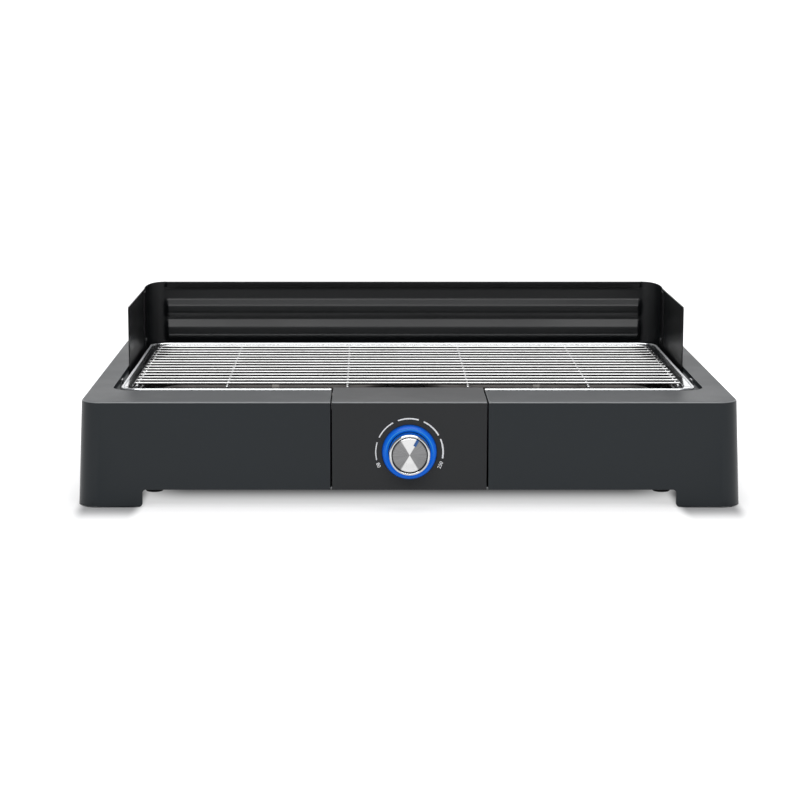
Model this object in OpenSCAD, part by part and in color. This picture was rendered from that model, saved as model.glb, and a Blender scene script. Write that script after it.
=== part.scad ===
// Electric table grill: a moulded body with a drip tray, a wire grate over a tubular heating
// element, a lift-out control unit with a lit dial, and a three-sided windshield in a slot.
// Units are millimetres, +Z is up and the dial faces -Y.

/* [Body] */
// Width of the body across its deck
body_w = 530; // [480:5:640]
// Depth of the body across its deck
body_d = 368; // [340:2:440]
// Height of the deck above the table
body_h = 86; // [84:1:110]
// How far each wall leans out between the deck and the table
draft = 3.4; // [0.4:0.2:6]
// Radius of the upright corners
corner_r = 17; // [10:1:26]
// Thickness of the moulded walls and deck
wall_t = 3; // [2:0.5:4]
// Size of the bevel round the deck's outer edge
bevel = 1; // [0.4:0.2:2]
// Height of the walls' lower edge above the table
skirt_h = 14.5; // [13:0.5:17]
// Length of wall that each corner leg takes up
leg_w = 53; // [36:0.5:70]
// Rounding where a leg meets the lower edge, and at the leg's own foot
leg_r = 3; // [2:0.5:6]
// Gap under the legs, which leaves the weight to the rubber feet
leg_gap = 0.5; // [0.2:0.1:1]

/* [Deck] */
// Width of the deck at each side
side_rim = 19; // [17:0.5:26]
// Depth of the deck behind the opening
rear_rim = 21.5; // [18:0.5:30]
// Depth of the deck in front of the opening
front_deck = 57.5; // [55:0.5:75]
// Corner radius of the opening
opening_r = 18; // [16:1:26]
// Width of the slot round the tray at the sides and front
slot_w = 6; // [5:0.5:8]
// Width of the slot behind the tray
rear_slot_w = 8; // [7.5:0.5:10]
// Depth of the slot
slot_h = 15; // [11:0.5:18]
// Thickness of the slot's moulded outer wall
lip_t = 2.5; // [1.5:0.5:3]

/* [Base] */
// Thickness of the base plate
base_t = 1; // [0.8:0.1:1.5]
// Diameter of a rubber foot
foot_d = 15; // [11:1:16]
// Distance of the feet in from the legs' faces under the front and back
foot_inset = 3.5; // [0:0.5:30]
// Distance of the feet in from the legs' faces under the sides
foot_back = 14; // [10:0.5:40]
// Width of a vent slot in the base plate
vent_w = 4; // [3:0.5:6]
// Length of a vent slot
vent_l = 46; // [30:1:60]
// Spacing of the vent slots
vent_pitch = 12; // [10:0.5:16]
// Number of vent slots in each field
vent_count = 12; // [4:1:14]
// Height of the air gap between the base plate and the heat shield
air_gap = 6; // [4:0.5:8]
// Radius of the screws' shanks
screw_r = 1.5; // [1.2:0.1:1.8]

/* [Drip tray] */
// Thickness of the tray's sheet
tray_t = 0.8; // [0.6:0.1:1.2]
// Width of the tray's flange
flange_w = 8.7; // [7.5:0.1:12]
// Radius of the rolled bead round the flange
bead_r = 1.2; // [0.8:0.1:1.6]
// How far the bead stands above the deck
bead_proud = 0.2; // [0:0.1:1]
// How far the grate's ledge lies below the flange
ledge_drop = 3.3; // [2.6:0.1:6]
// Width of the ledge at the sides
side_ledge = 6.8; // [5:0.2:9]
// Width of the ledge at the front and back
end_ledge = 16; // [12:0.5:20]
// Gap between the bowl and the heat shield under it
bowl_gap = 8.5; // [6:0.5:14]
// How far the bowl's walls lean in
bowl_draft = 5; // [1:0.5:10]
// Bend radius of the bowl's lower edge
bowl_bend = 7; // [3:0.5:10]

/* [Grate] */
// Number of long bars
bar_count = 15; // [9:1:15]
// Distance of the first and last bars from the tray's step
bar_margin = 21; // [18:0.5:40]
// Diameter of a long bar
bar_d = 2.4; // [1.8:0.1:3]
// Number of cross wires
cross_count = 4; // [2:1:4]
// Spacing of the cross wires
cross_pitch = 101.4; // [60:0.2:110]
// Diameter of a cross wire
cross_d = 2.8; // [2.2:0.1:3]
// How far the wires sink into each other at a weld
weld = 0.2; // [0.1:0.05:0.4]
// How far the cross wires reach past the first and last bars
cross_over = 9.5; // [6:0.5:16]
// Gap between the bars' ends and the tray's step
grate_gap = 1.2; // [0.6:0.1:3]

/* [Windshield] */
// Height of the windshield's back above the deck
shield_h = 58; // [40:1:90]
// How much lower the side panels stand
side_drop = 4.6; // [0:0.2:8]
// Length of a side panel, front edge to back
shield_l = 160; // [100:1:240]
// Thickness of the windshield's sheet
sheet_t = 1; // [0.8:0.1:1.2]
// Gap between the windshield and the slot's outer wall
shield_gap = 0.8; // [0.4:0.1:1.2]
// How far the pressed ribs stand forward
rib_d = 4.4; // [2:0.1:5]
// Height of one rib, from its lower to its upper edge
rib_h = 20.8; // [14:0.2:22]
// Height of the flat face of a rib
rib_face = 6.5; // [3:0.5:8]
// Height of the folded hem along the top of the back
hem_h = 5.3; // [3:0.1:8]
// Length of the lap where side and back panels are riveted
lap_l = 16; // [10:1:24]
// Radius of a rivet's head
rivet_r = 3; // [2:0.1:4]
// Corner radius at the front top of a side panel
panel_r = 3; // [1:0.5:8]

/* [Control unit] */
// Width of the control unit
unit_w = 124.8; // [116:0.4:150]
// Gap beside the control unit
seam = 1.2; // [0.6:0.1:2]
// How far the unit's top reaches back past the deck
tail_l = 14.9; // [8:0.1:16]
// Wall thickness of the control unit
unit_t = 2.5; // [1.5:0.5:3]
// Height of the dial's axis above the table
dial_z = 45.3; // [42:0.1:50]
// Outer diameter of the light ring
ring_d = 43.6; // [42:0.2:48]
// Diameter of the knob
knob_d = 33; // [32:0.2:36]
// How far the knob stands in front of the deck's edge
knob_reach = 16.4; // [12:0.2:22]
// Diameter of the knob's metal cap
cap_d = 28.2; // [24:0.2:30]
// Width of the pointer
pointer_w = 2.3; // [1.2:0.1:3]
// Length of the pointer
pointer_l = 5.6; // [4:0.1:9]
// Angle of the pointer, clockwise from the top
pointer_angle = 28; // [0:1:60]
// Radius of the thermostat's shaft
shaft_r = 3; // [2.5:0.1:3.2]
// Radius of the lead's bore in the gland
gland_r = 3.6; // [3:0.1:3.8]
// Length of the gland
gland_l = 17; // [12:1:17]

/* [Heating element] */
// Diameter of the element's tube
tube_d = 6.5; // [6:0.1:8]
// Depth of the tube's axis below the deck
tube_drop = 18; // [17:0.5:19]
// Spacing of the element's legs
leg_pitch = 44; // [36:1:48]
// How far the legs reach from the middle
leg_reach = 190; // [150:2:195]
// Distance of the cold ends from the middle
cold_x = 20; // [18:1:24]
// Distance of the support braces from the middle
brace_x = 115; // [80:1:140]

/* [Clearances] */
// Gap between pieces that rest on each other with a round face, or that lift apart
gap = 0.3; // [0.2:0.05:0.4]
// Running clearance between a shaft and its bore
run_gap = 0.06; // [0.03:0.01:0.09]

/* [Hidden] */
$fn = 48;
hull_fn = 32;
eps = 0.01;

// Depth is measured from the deck's front edge, and this moves the part over its own origin
front_y = -(body_d + draft - knob_reach) / 2;

half_w = body_w / 2;
leg_x = half_w + draft - leg_w;
leg_y0 = leg_w - draft;
leg_y1 = body_d + draft - leg_w;
base_z = skirt_h + 0.5;
base_top = base_z + base_t;

open_x = half_w - side_rim;
open_y0 = front_deck;
open_y1 = body_d - rear_rim;
slot_z = body_h - slot_h;
slot_floor_t = 3;

tray_x = open_x - slot_w;
tray_y0 = open_y0 + slot_w;
tray_y1 = open_y1 - rear_slot_w;
tray_r = opening_r - 1;
tray_mid = (tray_y0 + tray_y1) / 2;
bead_z = body_h + bead_proud - bead_r;
flange_z = bead_z + tray_t / 2;
ledge_z = flange_z - ledge_drop;
bowl_x = tray_x - flange_w - side_ledge;
bowl_y0 = tray_y0 + flange_w + end_ledge;
bowl_y1 = tray_y1 - flange_w - end_ledge;

head_h = 2;
recess_w = 0.6;
post_screw_l = 14;
foot_screw_l = 9;
box_screw_r = 1.3;
box_head_h = 1.4;
box_screw_l = 11;

frame_t = 1;
frame_in = 2 * bead_r + gap;
frame_foot = 5.5;
frame_top = flange_z - tray_t;
shield_pan_z = base_top + air_gap;
shield_pan_t = 0.8;
bowl_z = shield_pan_z + shield_pan_t + bowl_gap + tray_t;

unit_x = unit_w / 2;
bay_x = unit_x + seam;
bay_t = 2.5;
bay_wall_x = bay_x + bay_t / 2;
tail_y = open_y0 + tail_l;
box_y1 = open_y0 - 1.5;
box_z = base_top + gap;
tube_z = body_h - tube_drop;
tube_r = tube_d / 2;
notch_z = tube_z - tube_r - 2.5;
notch_x = bay_x + 0.4;
screw_x = 51;
screw_y = [10, 44];
bracket_x = 29.6;
bracket_y = 4;
bracket_w = 26;
bracket_h = 9;
bracket_t = 1.2;
lug_x = 18;
flange_rim = 10;
flange_h = 9;
flange_t = 1.5;
ring_y = 2.6;
board_y = 5.2;
block_x = -38;
block_y = 24;
block_l = 24;
block_w = 16;
block_h = 14;
pole_pitch = 8;
wire_r = 1.2;
switch_x = 34;
switch_y = 38;
switch_z = box_z + 9;
peg_h = 4.5;
gland_x = 35;
gland_y = 45;
gland_wall = 1.4;
gland_z = skirt_h - gland_r - gap;
clamp_x = gland_x - 2;
clamp_y = 30;
clamp_l = 18;
clamp_w = 6;
clamp_h = 5;

bars_z = body_h + bead_proud;
cross_z = bars_z - bar_d / 2 - cross_d / 2 + weld;
bar_x = tray_x - flange_w - grate_gap;
end_wire_x = bar_x - 2.2;
bar_y0 = tray_y0 + flange_w + bar_margin;
bar_y1 = tray_y1 - flange_w - bar_margin;
bar_pitch = (bar_y1 - bar_y0) / (bar_count - 1);

shield_x = open_x - shield_gap;
shield_r = opening_r - shield_gap;
shield_y1 = open_y1 - shield_gap;
shield_y0 = shield_y1 - shield_l;
shield_z = slot_z + gap;
shield_top = body_h + shield_h;
side_top = shield_top - side_drop;
wing_y = shield_y1 - shield_r;
lap_y = wing_y - lap_l / 2;
rivet_z = [body_h + 5, slot_z + 7];

post_r = 4;
post_x = half_w - wall_t - post_r - 1.5;
post_y = body_d - wall_t - post_r - 1.2;
posts = concat(
    [for (s = [-1, 1], y = [body_d * 0.2, body_d * 0.5, body_d * 0.8]) [s * post_x, y]],
    [for (s = [-1, 1]) [s * body_w * 0.21, front_deck / 2]],
    [for (s = [-1, 1]) [s * body_w * 0.23, post_y]]);
feet = [for (s = [-1, 1], y = [leg_y0 + foot_back, leg_y1 - foot_back]) [s * (leg_x - foot_inset), y]];

module placed() translate([0, front_y, 0]) children();

// Rounded rectangle from -hw to hw and from y0 to y1
module rounded(hw, y0, y1, r) {
    translate([r - hw, y0]) square([2 * (hw - r), y1 - y0]);
    translate([-hw, y0 + r]) square([2 * hw, y1 - y0 - 2 * r]);
    for (x = [r - hw, hw - r], y = [y0 + r, y1 - r]) translate([x, y]) circle(r);
}

// A band of width t just inside a rounded rectangle
module band(hw, y0, y1, r, t) difference() {
    rounded(hw, y0, y1, r);
    rounded(hw - t, y0 + t, y1 - t, max(r - t, 2));
}

module block(x0, x1, y0, y1, z0, z1) {
    translate([x0, y0, z0]) cube([x1 - x0, y1 - y0, z1 - z0]);
}

// Cylinder that points along +Y from y0 to y1
module rod_y(x, z, r, y0, y1) {
    translate([x, y0, z]) rotate([-90, 0, 0]) cylinder(r = r, h = y1 - y0);
}

// Revolved about the dial's axis, with points as [radius, depth]
module turned(points) {
    translate([0, 0, dial_z]) rotate([-90, 0, 0]) rotate_extrude() polygon(points);
}

module layer(inset, z) {
    out = draft * (1 - z / body_h);
    r = max(corner_r - inset, 3);
    translate([0, 0, z]) linear_extrude(height = eps)
        rounded(half_w + out - inset, inset - out, body_d + out - inset, r, $fn = hull_fn);
}

module body_solid() {
    hull($fn = hull_fn) {
        layer(0, leg_gap);
        layer(0, body_h - bevel);
        layer(bevel, body_h - eps);
    }
}

module body_cavity() {
    hull($fn = hull_fn) {
        layer(wall_t, -5);
        layer(wall_t, body_h - wall_t);
    }
}

// Outline of the way under the body between two legs, seen from the side
module arch(half, height) {
    translate([-half, -leg_r]) square([2 * half, height]);
    translate([leg_r - half, 0]) square([2 * (half - leg_r), height]);
    for (s = [-1, 1]) {
        translate([s * (half - leg_r), height - leg_r]) circle(leg_r);
        difference() {
            translate([s * (half + leg_r / 2), leg_r / 2 + leg_gap - 1])
                square([leg_r, leg_r + 2], center = true);
            translate([s * (half + leg_r), leg_r + leg_gap]) circle(leg_r);
        }
    }
}

module arches() {
    translate([0, body_d + 20, 0]) rotate([90, 0, 0])
        linear_extrude(height = body_d + 40) arch(leg_x, skirt_h);
    translate([-half_w - 20, (leg_y0 + leg_y1) / 2, 0]) rotate([90, 0, 90])
        linear_extrude(height = body_w + 40) arch((leg_y1 - leg_y0) / 2, skirt_h);
}

module leg_corners(inset, z0, z1) {
    x = leg_x + inset;
    for (s = [-1, 1]) {
        block(s > 0 ? x : -half_w - 20, s > 0 ? half_w + 20 : -x, -20, leg_y0 - inset, z0, z1);
        block(s > 0 ? x : -half_w - 20, s > 0 ? half_w + 20 : -x, leg_y1 + inset, body_d + 20, z0, z1);
    }
}

module leg_cups() {
    difference() {
        intersection() {
            body_solid();
            leg_corners(0, leg_gap, base_z);
        }
        intersection() {
            body_cavity();
            leg_corners(wall_t, leg_gap + wall_t, base_z + 5);
        }
        arches();
    }
}

module slot_wall() {
    difference() {
        translate([0, 0, slot_z - slot_floor_t]) linear_extrude(height = body_h - slot_z + slot_floor_t)
            rounded(open_x + lip_t, open_y0 - lip_t, open_y1 + lip_t, opening_r + lip_t);
        translate([0, 0, slot_z]) linear_extrude(height = slot_h + 5)
            rounded(open_x, open_y0, open_y1, opening_r);
        translate([0, 0, slot_z - slot_floor_t - 1]) linear_extrude(height = slot_h)
            rounded(tray_x - frame_in + gap, tray_y0 + frame_in - gap, tray_y1 - frame_in + gap,
                tray_r - 2 + gap);
    }
}

module housing_shell() placed() color("#3a3c40") difference() {
    union() {
        difference() {
            body_solid();
            body_cavity();
            arches();
            translate([0, 0, body_h - 20]) linear_extrude(height = 30)
                rounded(open_x + 1, open_y0 - 1, open_y1 + 1, opening_r + 1);
        }
        leg_cups();
        slot_wall();
        for (p = posts) translate([p[0], p[1], base_top])
            cylinder(r = post_r, h = body_h - wall_t / 2 - base_top);
        intersection() {
            body_solid();
            for (s = [-1, 1])
                block(s * bay_wall_x - bay_t / 2, s * bay_wall_x + bay_t / 2, -5, open_y0 + 1,
                    base_top, body_h);
        }
    }
    block(-bay_x, bay_x, -20, tray_y0 + 8, -1, body_h + 5);
    for (p = posts) translate([p[0], p[1], base_top - 1]) cylinder(r = screw_r + 0.1, h = 18);
}

module vent_field(x0) {
    for (i = [0 : vent_count - 1]) translate([x0, tray_mid + (i - (vent_count - 1) / 2) * vent_pitch]) {
        square([vent_l, vent_w], center = true);
        for (s = [-1, 1]) translate([s * vent_l / 2, 0]) circle(vent_w / 2);
    }
}

module base_plate() placed() color("#55585c") {
    inset = wall_t + 0.6 - round(10 * draft * (1 - base_z / body_h)) / 10;
    translate([0, 0, base_z]) linear_extrude(height = base_t) difference() {
        rounded(half_w - inset, inset, body_d - inset, corner_r - wall_t);
        for (x = [-0.32, -0.11, 0.11, 0.32]) vent_field(x * body_w);
        for (p = posts) translate(p) circle(screw_r + 0.3);
        for (p = feet) translate(p) circle(screw_r + 0.3);
        translate([gland_x - gland_r - gland_wall - 1.5, gland_y - 2])
            square([2 * (gland_r + gland_wall + 1.5), gland_l + 5]);
    }
    for (s = [-1, 1], y = [tray_y0 + 30, tray_y1 - 30]) translate([s * body_w * 0.215, y, base_z]) {
        cylinder(r = 7, h = base_t + air_gap - 0.5);
        cylinder(r = 5, h = base_t + air_gap);
    }
    translate([switch_x, switch_y, base_z]) cylinder(r = 2, h = base_t + peg_h);
}

// Screw with a crossed recess, whose head hangs below the origin
module pan_screw(r, head_h, length) {
    translate([0, 0, -head_h]) difference() {
        cylinder(r = 2.15 * r, h = head_h);
        for (a = [0, 90]) rotate(a) translate([-r * 1.3, -recess_w / 2, -1])
            cube([r * 2.6, recess_w, head_h / 2 + 1]);
    }
    cylinder(r = r, h = length);
}

module base_screws() placed() color("#9a9ca0") {
    for (p = posts) translate([p[0], p[1], base_z]) pan_screw(screw_r, head_h, post_screw_l);
    for (p = feet) translate([p[0], p[1], base_z - 4]) pan_screw(screw_r, head_h, foot_screw_l);
}

module rubber_feet() placed() color("#1c1c1e")
    for (p = feet) translate([p[0], p[1], 0]) rotate_extrude() polygon([
        [screw_r + 0.2, base_z - 4], [screw_r + 0.2, base_z], [foot_d / 2 + 0.5, base_z],
        [foot_d / 2 + 0.5, base_z - 2], [foot_d / 2, base_z - 3], [foot_d / 2, 0.8],
        [foot_d / 2 - 0.8, 0], [4.2, 0], [4.2, base_z - 4]]);

module heat_shield() placed() color("#b9bcc0") translate([0, 0, shield_pan_z])
    linear_extrude(height = shield_pan_t)
        rounded(tray_x - frame_in + 2, tray_y0 + frame_in - 2, tray_y1 - frame_in + 2, tray_r);

module inner_frame() placed() color("#2c2d30") difference() {
    union() {
        translate([0, 0, shield_pan_z + shield_pan_t])
            linear_extrude(height = frame_top - shield_pan_z - shield_pan_t)
                band(tray_x - frame_in, tray_y0 + frame_in, tray_y1 - frame_in, tray_r - 2, frame_t);
        translate([0, 0, slot_z]) linear_extrude(height = frame_t)
            band(tray_x - frame_in + frame_foot, tray_y0 + frame_in - frame_foot + 0.5,
                tray_y1 - frame_in + frame_foot + 0.5, tray_r + 3, frame_foot + frame_t / 2);
    }
    block(-notch_x, notch_x, 0, tray_mid - 60, notch_z - 3, body_h + 5);
}

module shield_clips() placed() color("#c4c6c9") for (s = [-1, 1]) {
    x = s * (open_x - slot_w / 2 + 1.6);
    y = shield_y0 - 64;
    block(x - 1.4, x + 1.4, y, y + 12, slot_z, slot_z + 0.8);
    block(x - 0.4, x + 0.4, y, y + 12, slot_z, body_h - 2.5);
    translate([x, y, body_h - 2.5]) rotate([-90, 0, 0]) cylinder(r = 0.9, h = 12);
}

module bead_ring(hw, y0, y1, r, br, z) {
    for (s = [-1, 1]) {
        translate([s * (hw - br), y0 + r, z]) rotate([-90, 0, 0]) cylinder(r = br, h = y1 - y0 - 2 * r);
        for (y = [y0 + br, y1 - br]) translate([r - hw, y, z]) rotate([0, 90, 0])
            cylinder(r = br, h = 2 * (hw - r));
    }
    corners = [[hw - r, y1 - r, 0], [r - hw, y1 - r, 90], [r - hw, y0 + r, 180], [hw - r, y0 + r, 270]];
    for (c = corners) translate([c[0], c[1], z]) rotate(c[2])
        rotate_extrude(angle = 90) translate([r - br, 0]) circle(br);
}

module bowl_solid(grow) {
    low = bowl_z - grow;
    hull($fn = hull_fn) {
        translate([0, 0, ledge_z - tray_t]) linear_extrude(height = tray_t + (grow > 0 ? 0 : 1))
            rounded(bowl_x + grow, bowl_y0 - grow, bowl_y1 + grow, 10 + grow, $fn = hull_fn);
        translate([0, 0, low + bowl_bend]) linear_extrude(height = eps)
            rounded(bowl_x - bowl_draft + grow, bowl_y0 + bowl_draft - grow,
                bowl_y1 - bowl_draft + grow, 9 + grow, $fn = hull_fn);
        translate([0, 0, low + bowl_bend * 0.3]) linear_extrude(height = eps)
            rounded(bowl_x - bowl_draft + grow - bowl_bend * 0.3,
                bowl_y0 + bowl_draft - grow + bowl_bend * 0.3,
                bowl_y1 - bowl_draft + grow - bowl_bend * 0.3, 8 + grow, $fn = hull_fn);
        translate([0, 0, low]) linear_extrude(height = eps)
            rounded(bowl_x - bowl_draft + grow - bowl_bend, bowl_y0 + bowl_draft - grow + bowl_bend,
                bowl_y1 - bowl_draft + grow - bowl_bend, 5 + grow, $fn = hull_fn);
    }
}

module drip_tray() placed() color("#d8dadd") difference() {
    step_x = tray_x - flange_w;
    union() {
        translate([0, 0, flange_z - tray_t]) linear_extrude(height = tray_t)
            band(tray_x - bead_r, tray_y0 + bead_r, tray_y1 - bead_r, tray_r - bead_r, flange_w - bead_r);
        bead_ring(tray_x, tray_y0, tray_y1, tray_r, bead_r, bead_z);
        translate([0, 0, ledge_z - tray_t]) linear_extrude(height = ledge_drop + tray_t)
            band(step_x + tray_t, tray_y0 + flange_w - tray_t, tray_y1 - flange_w + tray_t, 12, tray_t);
        translate([0, 0, ledge_z - tray_t]) linear_extrude(height = tray_t)
            rounded(step_x + tray_t, tray_y0 + flange_w - tray_t, tray_y1 - flange_w + tray_t, 12);
        bowl_solid(tray_t);
    }
    bowl_solid(0);
    block(-notch_x, notch_x, tray_y0 - 5, bowl_y0 + 8, notch_z, body_h + 5);
}

module control_panel() placed() color("#3a3c40") difference() {
    union() {
        intersection() {
            difference() {
                body_solid();
                body_cavity();
            }
            block(-unit_x, unit_x, -20, box_y1 - unit_t - gap, skirt_h, body_h + 5);
        }
        intersection() {
            body_solid();
            for (s = [-1, 1])
                block(s * (unit_x - unit_t / 2) - unit_t / 2, s * (unit_x - unit_t / 2) + unit_t / 2,
                    -20, box_y1, skirt_h + 2, body_h);
        }
        block(-unit_x, unit_x, box_y1 - unit_t - 1, tail_y, body_h - wall_t, body_h);
        for (s = [-1, 1])
            block(s * (unit_x - 2) - 2, s * (unit_x - 2) + 2, box_y1, tail_y - 1.5, body_h - 7, body_h - 1);
        for (s = [-1, 1], y = screw_y) translate([s * screw_x, y, box_z + unit_t])
            cylinder(r = 3.5, h = body_h - wall_t / 2 - box_z - unit_t);
        for (s = [-1, 1]) rod_y(s * bracket_x, dial_z, 3, 0.5, bracket_y);
    }
    rod_y(0, dial_z, ring_d / 2 + gap, -20, 10);
    for (s = [-1, 1], y = screw_y) translate([s * screw_x, y, box_z]) cylinder(r = 1.4, h = 14);
    for (x = [-8.6, -0.3, 7.2]) block(x - 3, x + 3, tail_y - 1, tail_y + 1, body_h - 0.8, body_h + 1);
}

module control_box() placed() color("#2b2c2f") {
    inner_x = unit_x - unit_t - gap;
    difference() {
        union() {
            block(-inner_x, inner_x, wall_t + gap, box_y1, box_z, box_z + unit_t);
            block(-inner_x, inner_x, box_y1 - unit_t, box_y1, box_z, body_h - wall_t - gap);
            for (s = [-1, 1])
                block(s * (inner_x - 1) - 1, s * (inner_x - 1) + 1, 14, box_y1 - unit_t, box_z, box_z + 14);
            block(switch_x - 11, switch_x + 11, switch_y - 3.5, switch_y + 4, box_z, switch_z);
        }
        for (s = [-1, 1], y = screw_y) translate([s * screw_x, y, box_z - 1]) {
            cylinder(r = 1.6, h = 10);
            cylinder(r = 3.1, h = 2.6);
        }
        for (s = [-1, 1]) rod_y(s * cold_x, tube_z, tube_r + gap, box_y1 - 10, box_y1 + 5);
        rod_y(0, tube_z, 2.2, box_y1 - 10, box_y1 + 5);
        translate([switch_x, switch_y, box_z - 1]) cylinder(r = 2.6, h = 12);
        translate([gland_x, gland_y + 4, box_z - 1]) cylinder(r = 2.6, h = unit_t + 2);
    }
}

module box_screws() placed() color("#9a9ca0")
    for (s = [-1, 1], y = screw_y) translate([s * screw_x, y, box_z + box_head_h + 0.2])
        pan_screw(box_screw_r, box_head_h, box_screw_l);

module heat_barrier() placed() color("#b9bcc0") {
    y0 = box_y1;
    hang = bowl_y0 - 3;
    difference() {
        union() {
            block(-unit_x + 4.5, unit_x - 4.5, y0, y0 + 0.8, box_z + 2, ledge_z - 0.8);
            block(-unit_x + 4.5, unit_x - 4.5, y0, hang, ledge_z - 1.6, ledge_z - 0.8);
            block(-unit_x + 4.5, unit_x - 4.5, hang - 0.8, hang, ledge_z - 7, ledge_z - 0.8);
        }
        for (s = [-1, 1]) rod_y(s * cold_x, tube_z, tube_r + gap, y0 - 5, y0 + 5);
        rod_y(0, tube_z, 2.2, y0 - 5, y0 + 5);
    }
}

// A straight piece of the element's tube between two points in its plane
module tube_run(a, b) {
    d = b - a;
    translate([a[0], a[1], tube_z]) rotate([0, 0, atan2(d[1], d[0])]) rotate([0, 90, 0])
        cylinder(r = tube_r, h = norm(d));
}

// A bend of the element's tube about a centre in its plane
module tube_bend(c, r, from, sweep) {
    translate([c[0], c[1], tube_z]) rotate(from)
        rotate_extrude(angle = sweep) translate([r, 0]) circle(tube_r);
}

module element_half() {
    bend = 14;
    u = leg_pitch / 2;
    y1 = tray_mid - 1.5 * leg_pitch;
    tube_run([cold_x, box_y1 - 8], [cold_x, y1 - bend]);
    tube_bend([cold_x + bend, y1 - bend], bend, 90, 90);
    tube_run([cold_x + bend, y1], [leg_reach, y1]);
    tube_bend([leg_reach, y1 + u], u, -90, 180);
    tube_run([leg_reach, y1 + 2 * u], [cold_x + u, y1 + 2 * u]);
    tube_bend([cold_x + u, y1 + 3 * u], u, 90, 180);
    tube_run([cold_x + u, y1 + 4 * u], [leg_reach, y1 + 4 * u]);
    tube_bend([leg_reach, y1 + 5 * u], u, -90, 180);
    tube_run([leg_reach, y1 + 6 * u], [0, y1 + 6 * u]);
}

module heating_element() placed() color("#4a4543") {
    element_half();
    mirror([1, 0, 0]) element_half();
}

module element_flange() placed() color("#c4c6c9") {
    y0 = box_y1 + 0.8;
    difference() {
        block(-cold_x - flange_rim, cold_x + flange_rim, y0, y0 + flange_t, tube_z - flange_h,
            tube_z + flange_h);
        for (s = [-1, 1]) rod_y(s * cold_x, tube_z, tube_r, y0 - 1, y0 + 3);
    }
    for (s = [-1, 1]) difference() {
        rod_y(s * cold_x, tube_z, tube_r + flange_t, y0 + flange_t, y0 + 5);
        rod_y(s * cold_x, tube_z, tube_r, y0, y0 + 6);
    }
    rod_y(0, tube_z, 2, y0 - 3.4, y0 + 1);
    rod_y(0, tube_z, 3.6, y0 + flange_t, y0 + 3.7);
}

module element_braces() placed() color("#b9bcc0") for (s = [-1, 1]) {
    y1 = tray_mid - 1.5 * leg_pitch;
    y4 = tray_mid + 1.5 * leg_pitch;
    top = tube_z - tube_r;
    difference() {
        union() {
            block(s * brace_x - 6, s * brace_x + 6, y1 - 8, y4 + 8, top - 1.2, top);
            for (i = [0 : 3]) translate([s * brace_x - 3, y1 + i * leg_pitch, tube_z])
                rotate([0, 90, 0]) cylinder(r = tube_r + 1, h = 6);
            for (y = [y1 - 8, y4 + 6.8])
                block(s * brace_x - 6, s * brace_x + 6, y, y + 1.2, bowl_z + gap, top);
            for (y = [y1 - 8, y4 + 2])
                block(s * brace_x - 6, s * brace_x + 6, y, y + 6, bowl_z + gap, bowl_z + gap + 1.2);
        }
        for (i = [0 : 3]) translate([s * brace_x - 8, y1 + i * leg_pitch, tube_z])
            rotate([0, 90, 0]) cylinder(r = tube_r, h = 16);
    }
}

module element_terminals() placed() color("#e6e0d2") for (s = [-1, 1]) {
    rod_y(s * cold_x, tube_z, tube_r - 0.6, box_y1 - 12, box_y1 - 8);
    rod_y(s * cold_x, tube_z, 1.3, box_y1 - 20, box_y1 - 12);
    block(s * cold_x - 3.2, s * cold_x + 3.2, box_y1 - 22, box_y1 - 16, tube_z - 1.6, tube_z - 0.8);
    block(s * cold_x - 1, s * cold_x + 1, box_y1 - 21, box_y1 - 17, tube_z - 1.6, tube_z - 0.8);
}

module thermostat() placed() color("#8f8a7c") difference() {
    plate_y = bracket_y + 7.6;
    union() {
        rod_y(0, dial_z, 5, plate_y - 4, plate_y + 4);
        block(-23, 23, plate_y, plate_y + 1.6, dial_z - 8, dial_z + 8);
        block(-13, -11.5, plate_y, plate_y + 22, dial_z - 8, dial_z + 8);
        block(-13, 13, plate_y + 20.5, plate_y + 22, dial_z - 8, dial_z + 8);
        translate([-6, plate_y + 9, dial_z - 9]) cylinder(r = 4.5, h = 18);
        for (z = [-6, -1, 4]) block(-12, 13, plate_y + 6, plate_y + 12, dial_z + z, dial_z + z + 0.8);
        block(9, 13, plate_y + 4, plate_y + 21, dial_z - 7, dial_z + 6);
    }
    rod_y(0, dial_z, shaft_r + run_gap, 0, plate_y + 5);
    for (s = [-1, 1]) rod_y(s * lug_x, dial_z, 1.4, plate_y - 1, plate_y + 3);
}

module thermostat_bracket() placed() color("#b9bcc0") difference() {
    plate_y = bracket_y + 6.4;
    union() {
        block(-bracket_w, bracket_w, plate_y, plate_y + bracket_t, dial_z - bracket_h, dial_z + bracket_h);
        for (s = [-1, 1]) {
            x = s * (bracket_w - bracket_t / 2);
            block(x - bracket_t / 2, x + bracket_t / 2, bracket_y, plate_y + bracket_t,
                dial_z - bracket_h, dial_z + bracket_h);
            block(s * bracket_x - 3.6, s * bracket_x + 3.6, bracket_y, bracket_y + bracket_t,
                dial_z - bracket_h, dial_z + bracket_h);
        }
    }
    rod_y(0, dial_z, 5 + gap, 0, 20);
    for (s = [-1, 1]) {
        rod_y(s * lug_x, dial_z, 1.5, 5, 15);
        rod_y(s * bracket_x, dial_z, 1.5, 0, 8);
    }
}

module thermostat_screws() placed() color("#9a9ca0") for (s = [-1, 1]) {
    rod_y(s * lug_x, dial_z, 2.8, bracket_y + 4.8, bracket_y + 6.4);
    rod_y(s * lug_x, dial_z, 1.3, bracket_y + 6.4, bracket_y + 9.2);
    rod_y(s * bracket_x, dial_z, 2.8, bracket_y + bracket_t, bracket_y + 2.8);
    rod_y(s * bracket_x, dial_z, 1.3, bracket_y, bracket_y + bracket_t);
}

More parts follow.
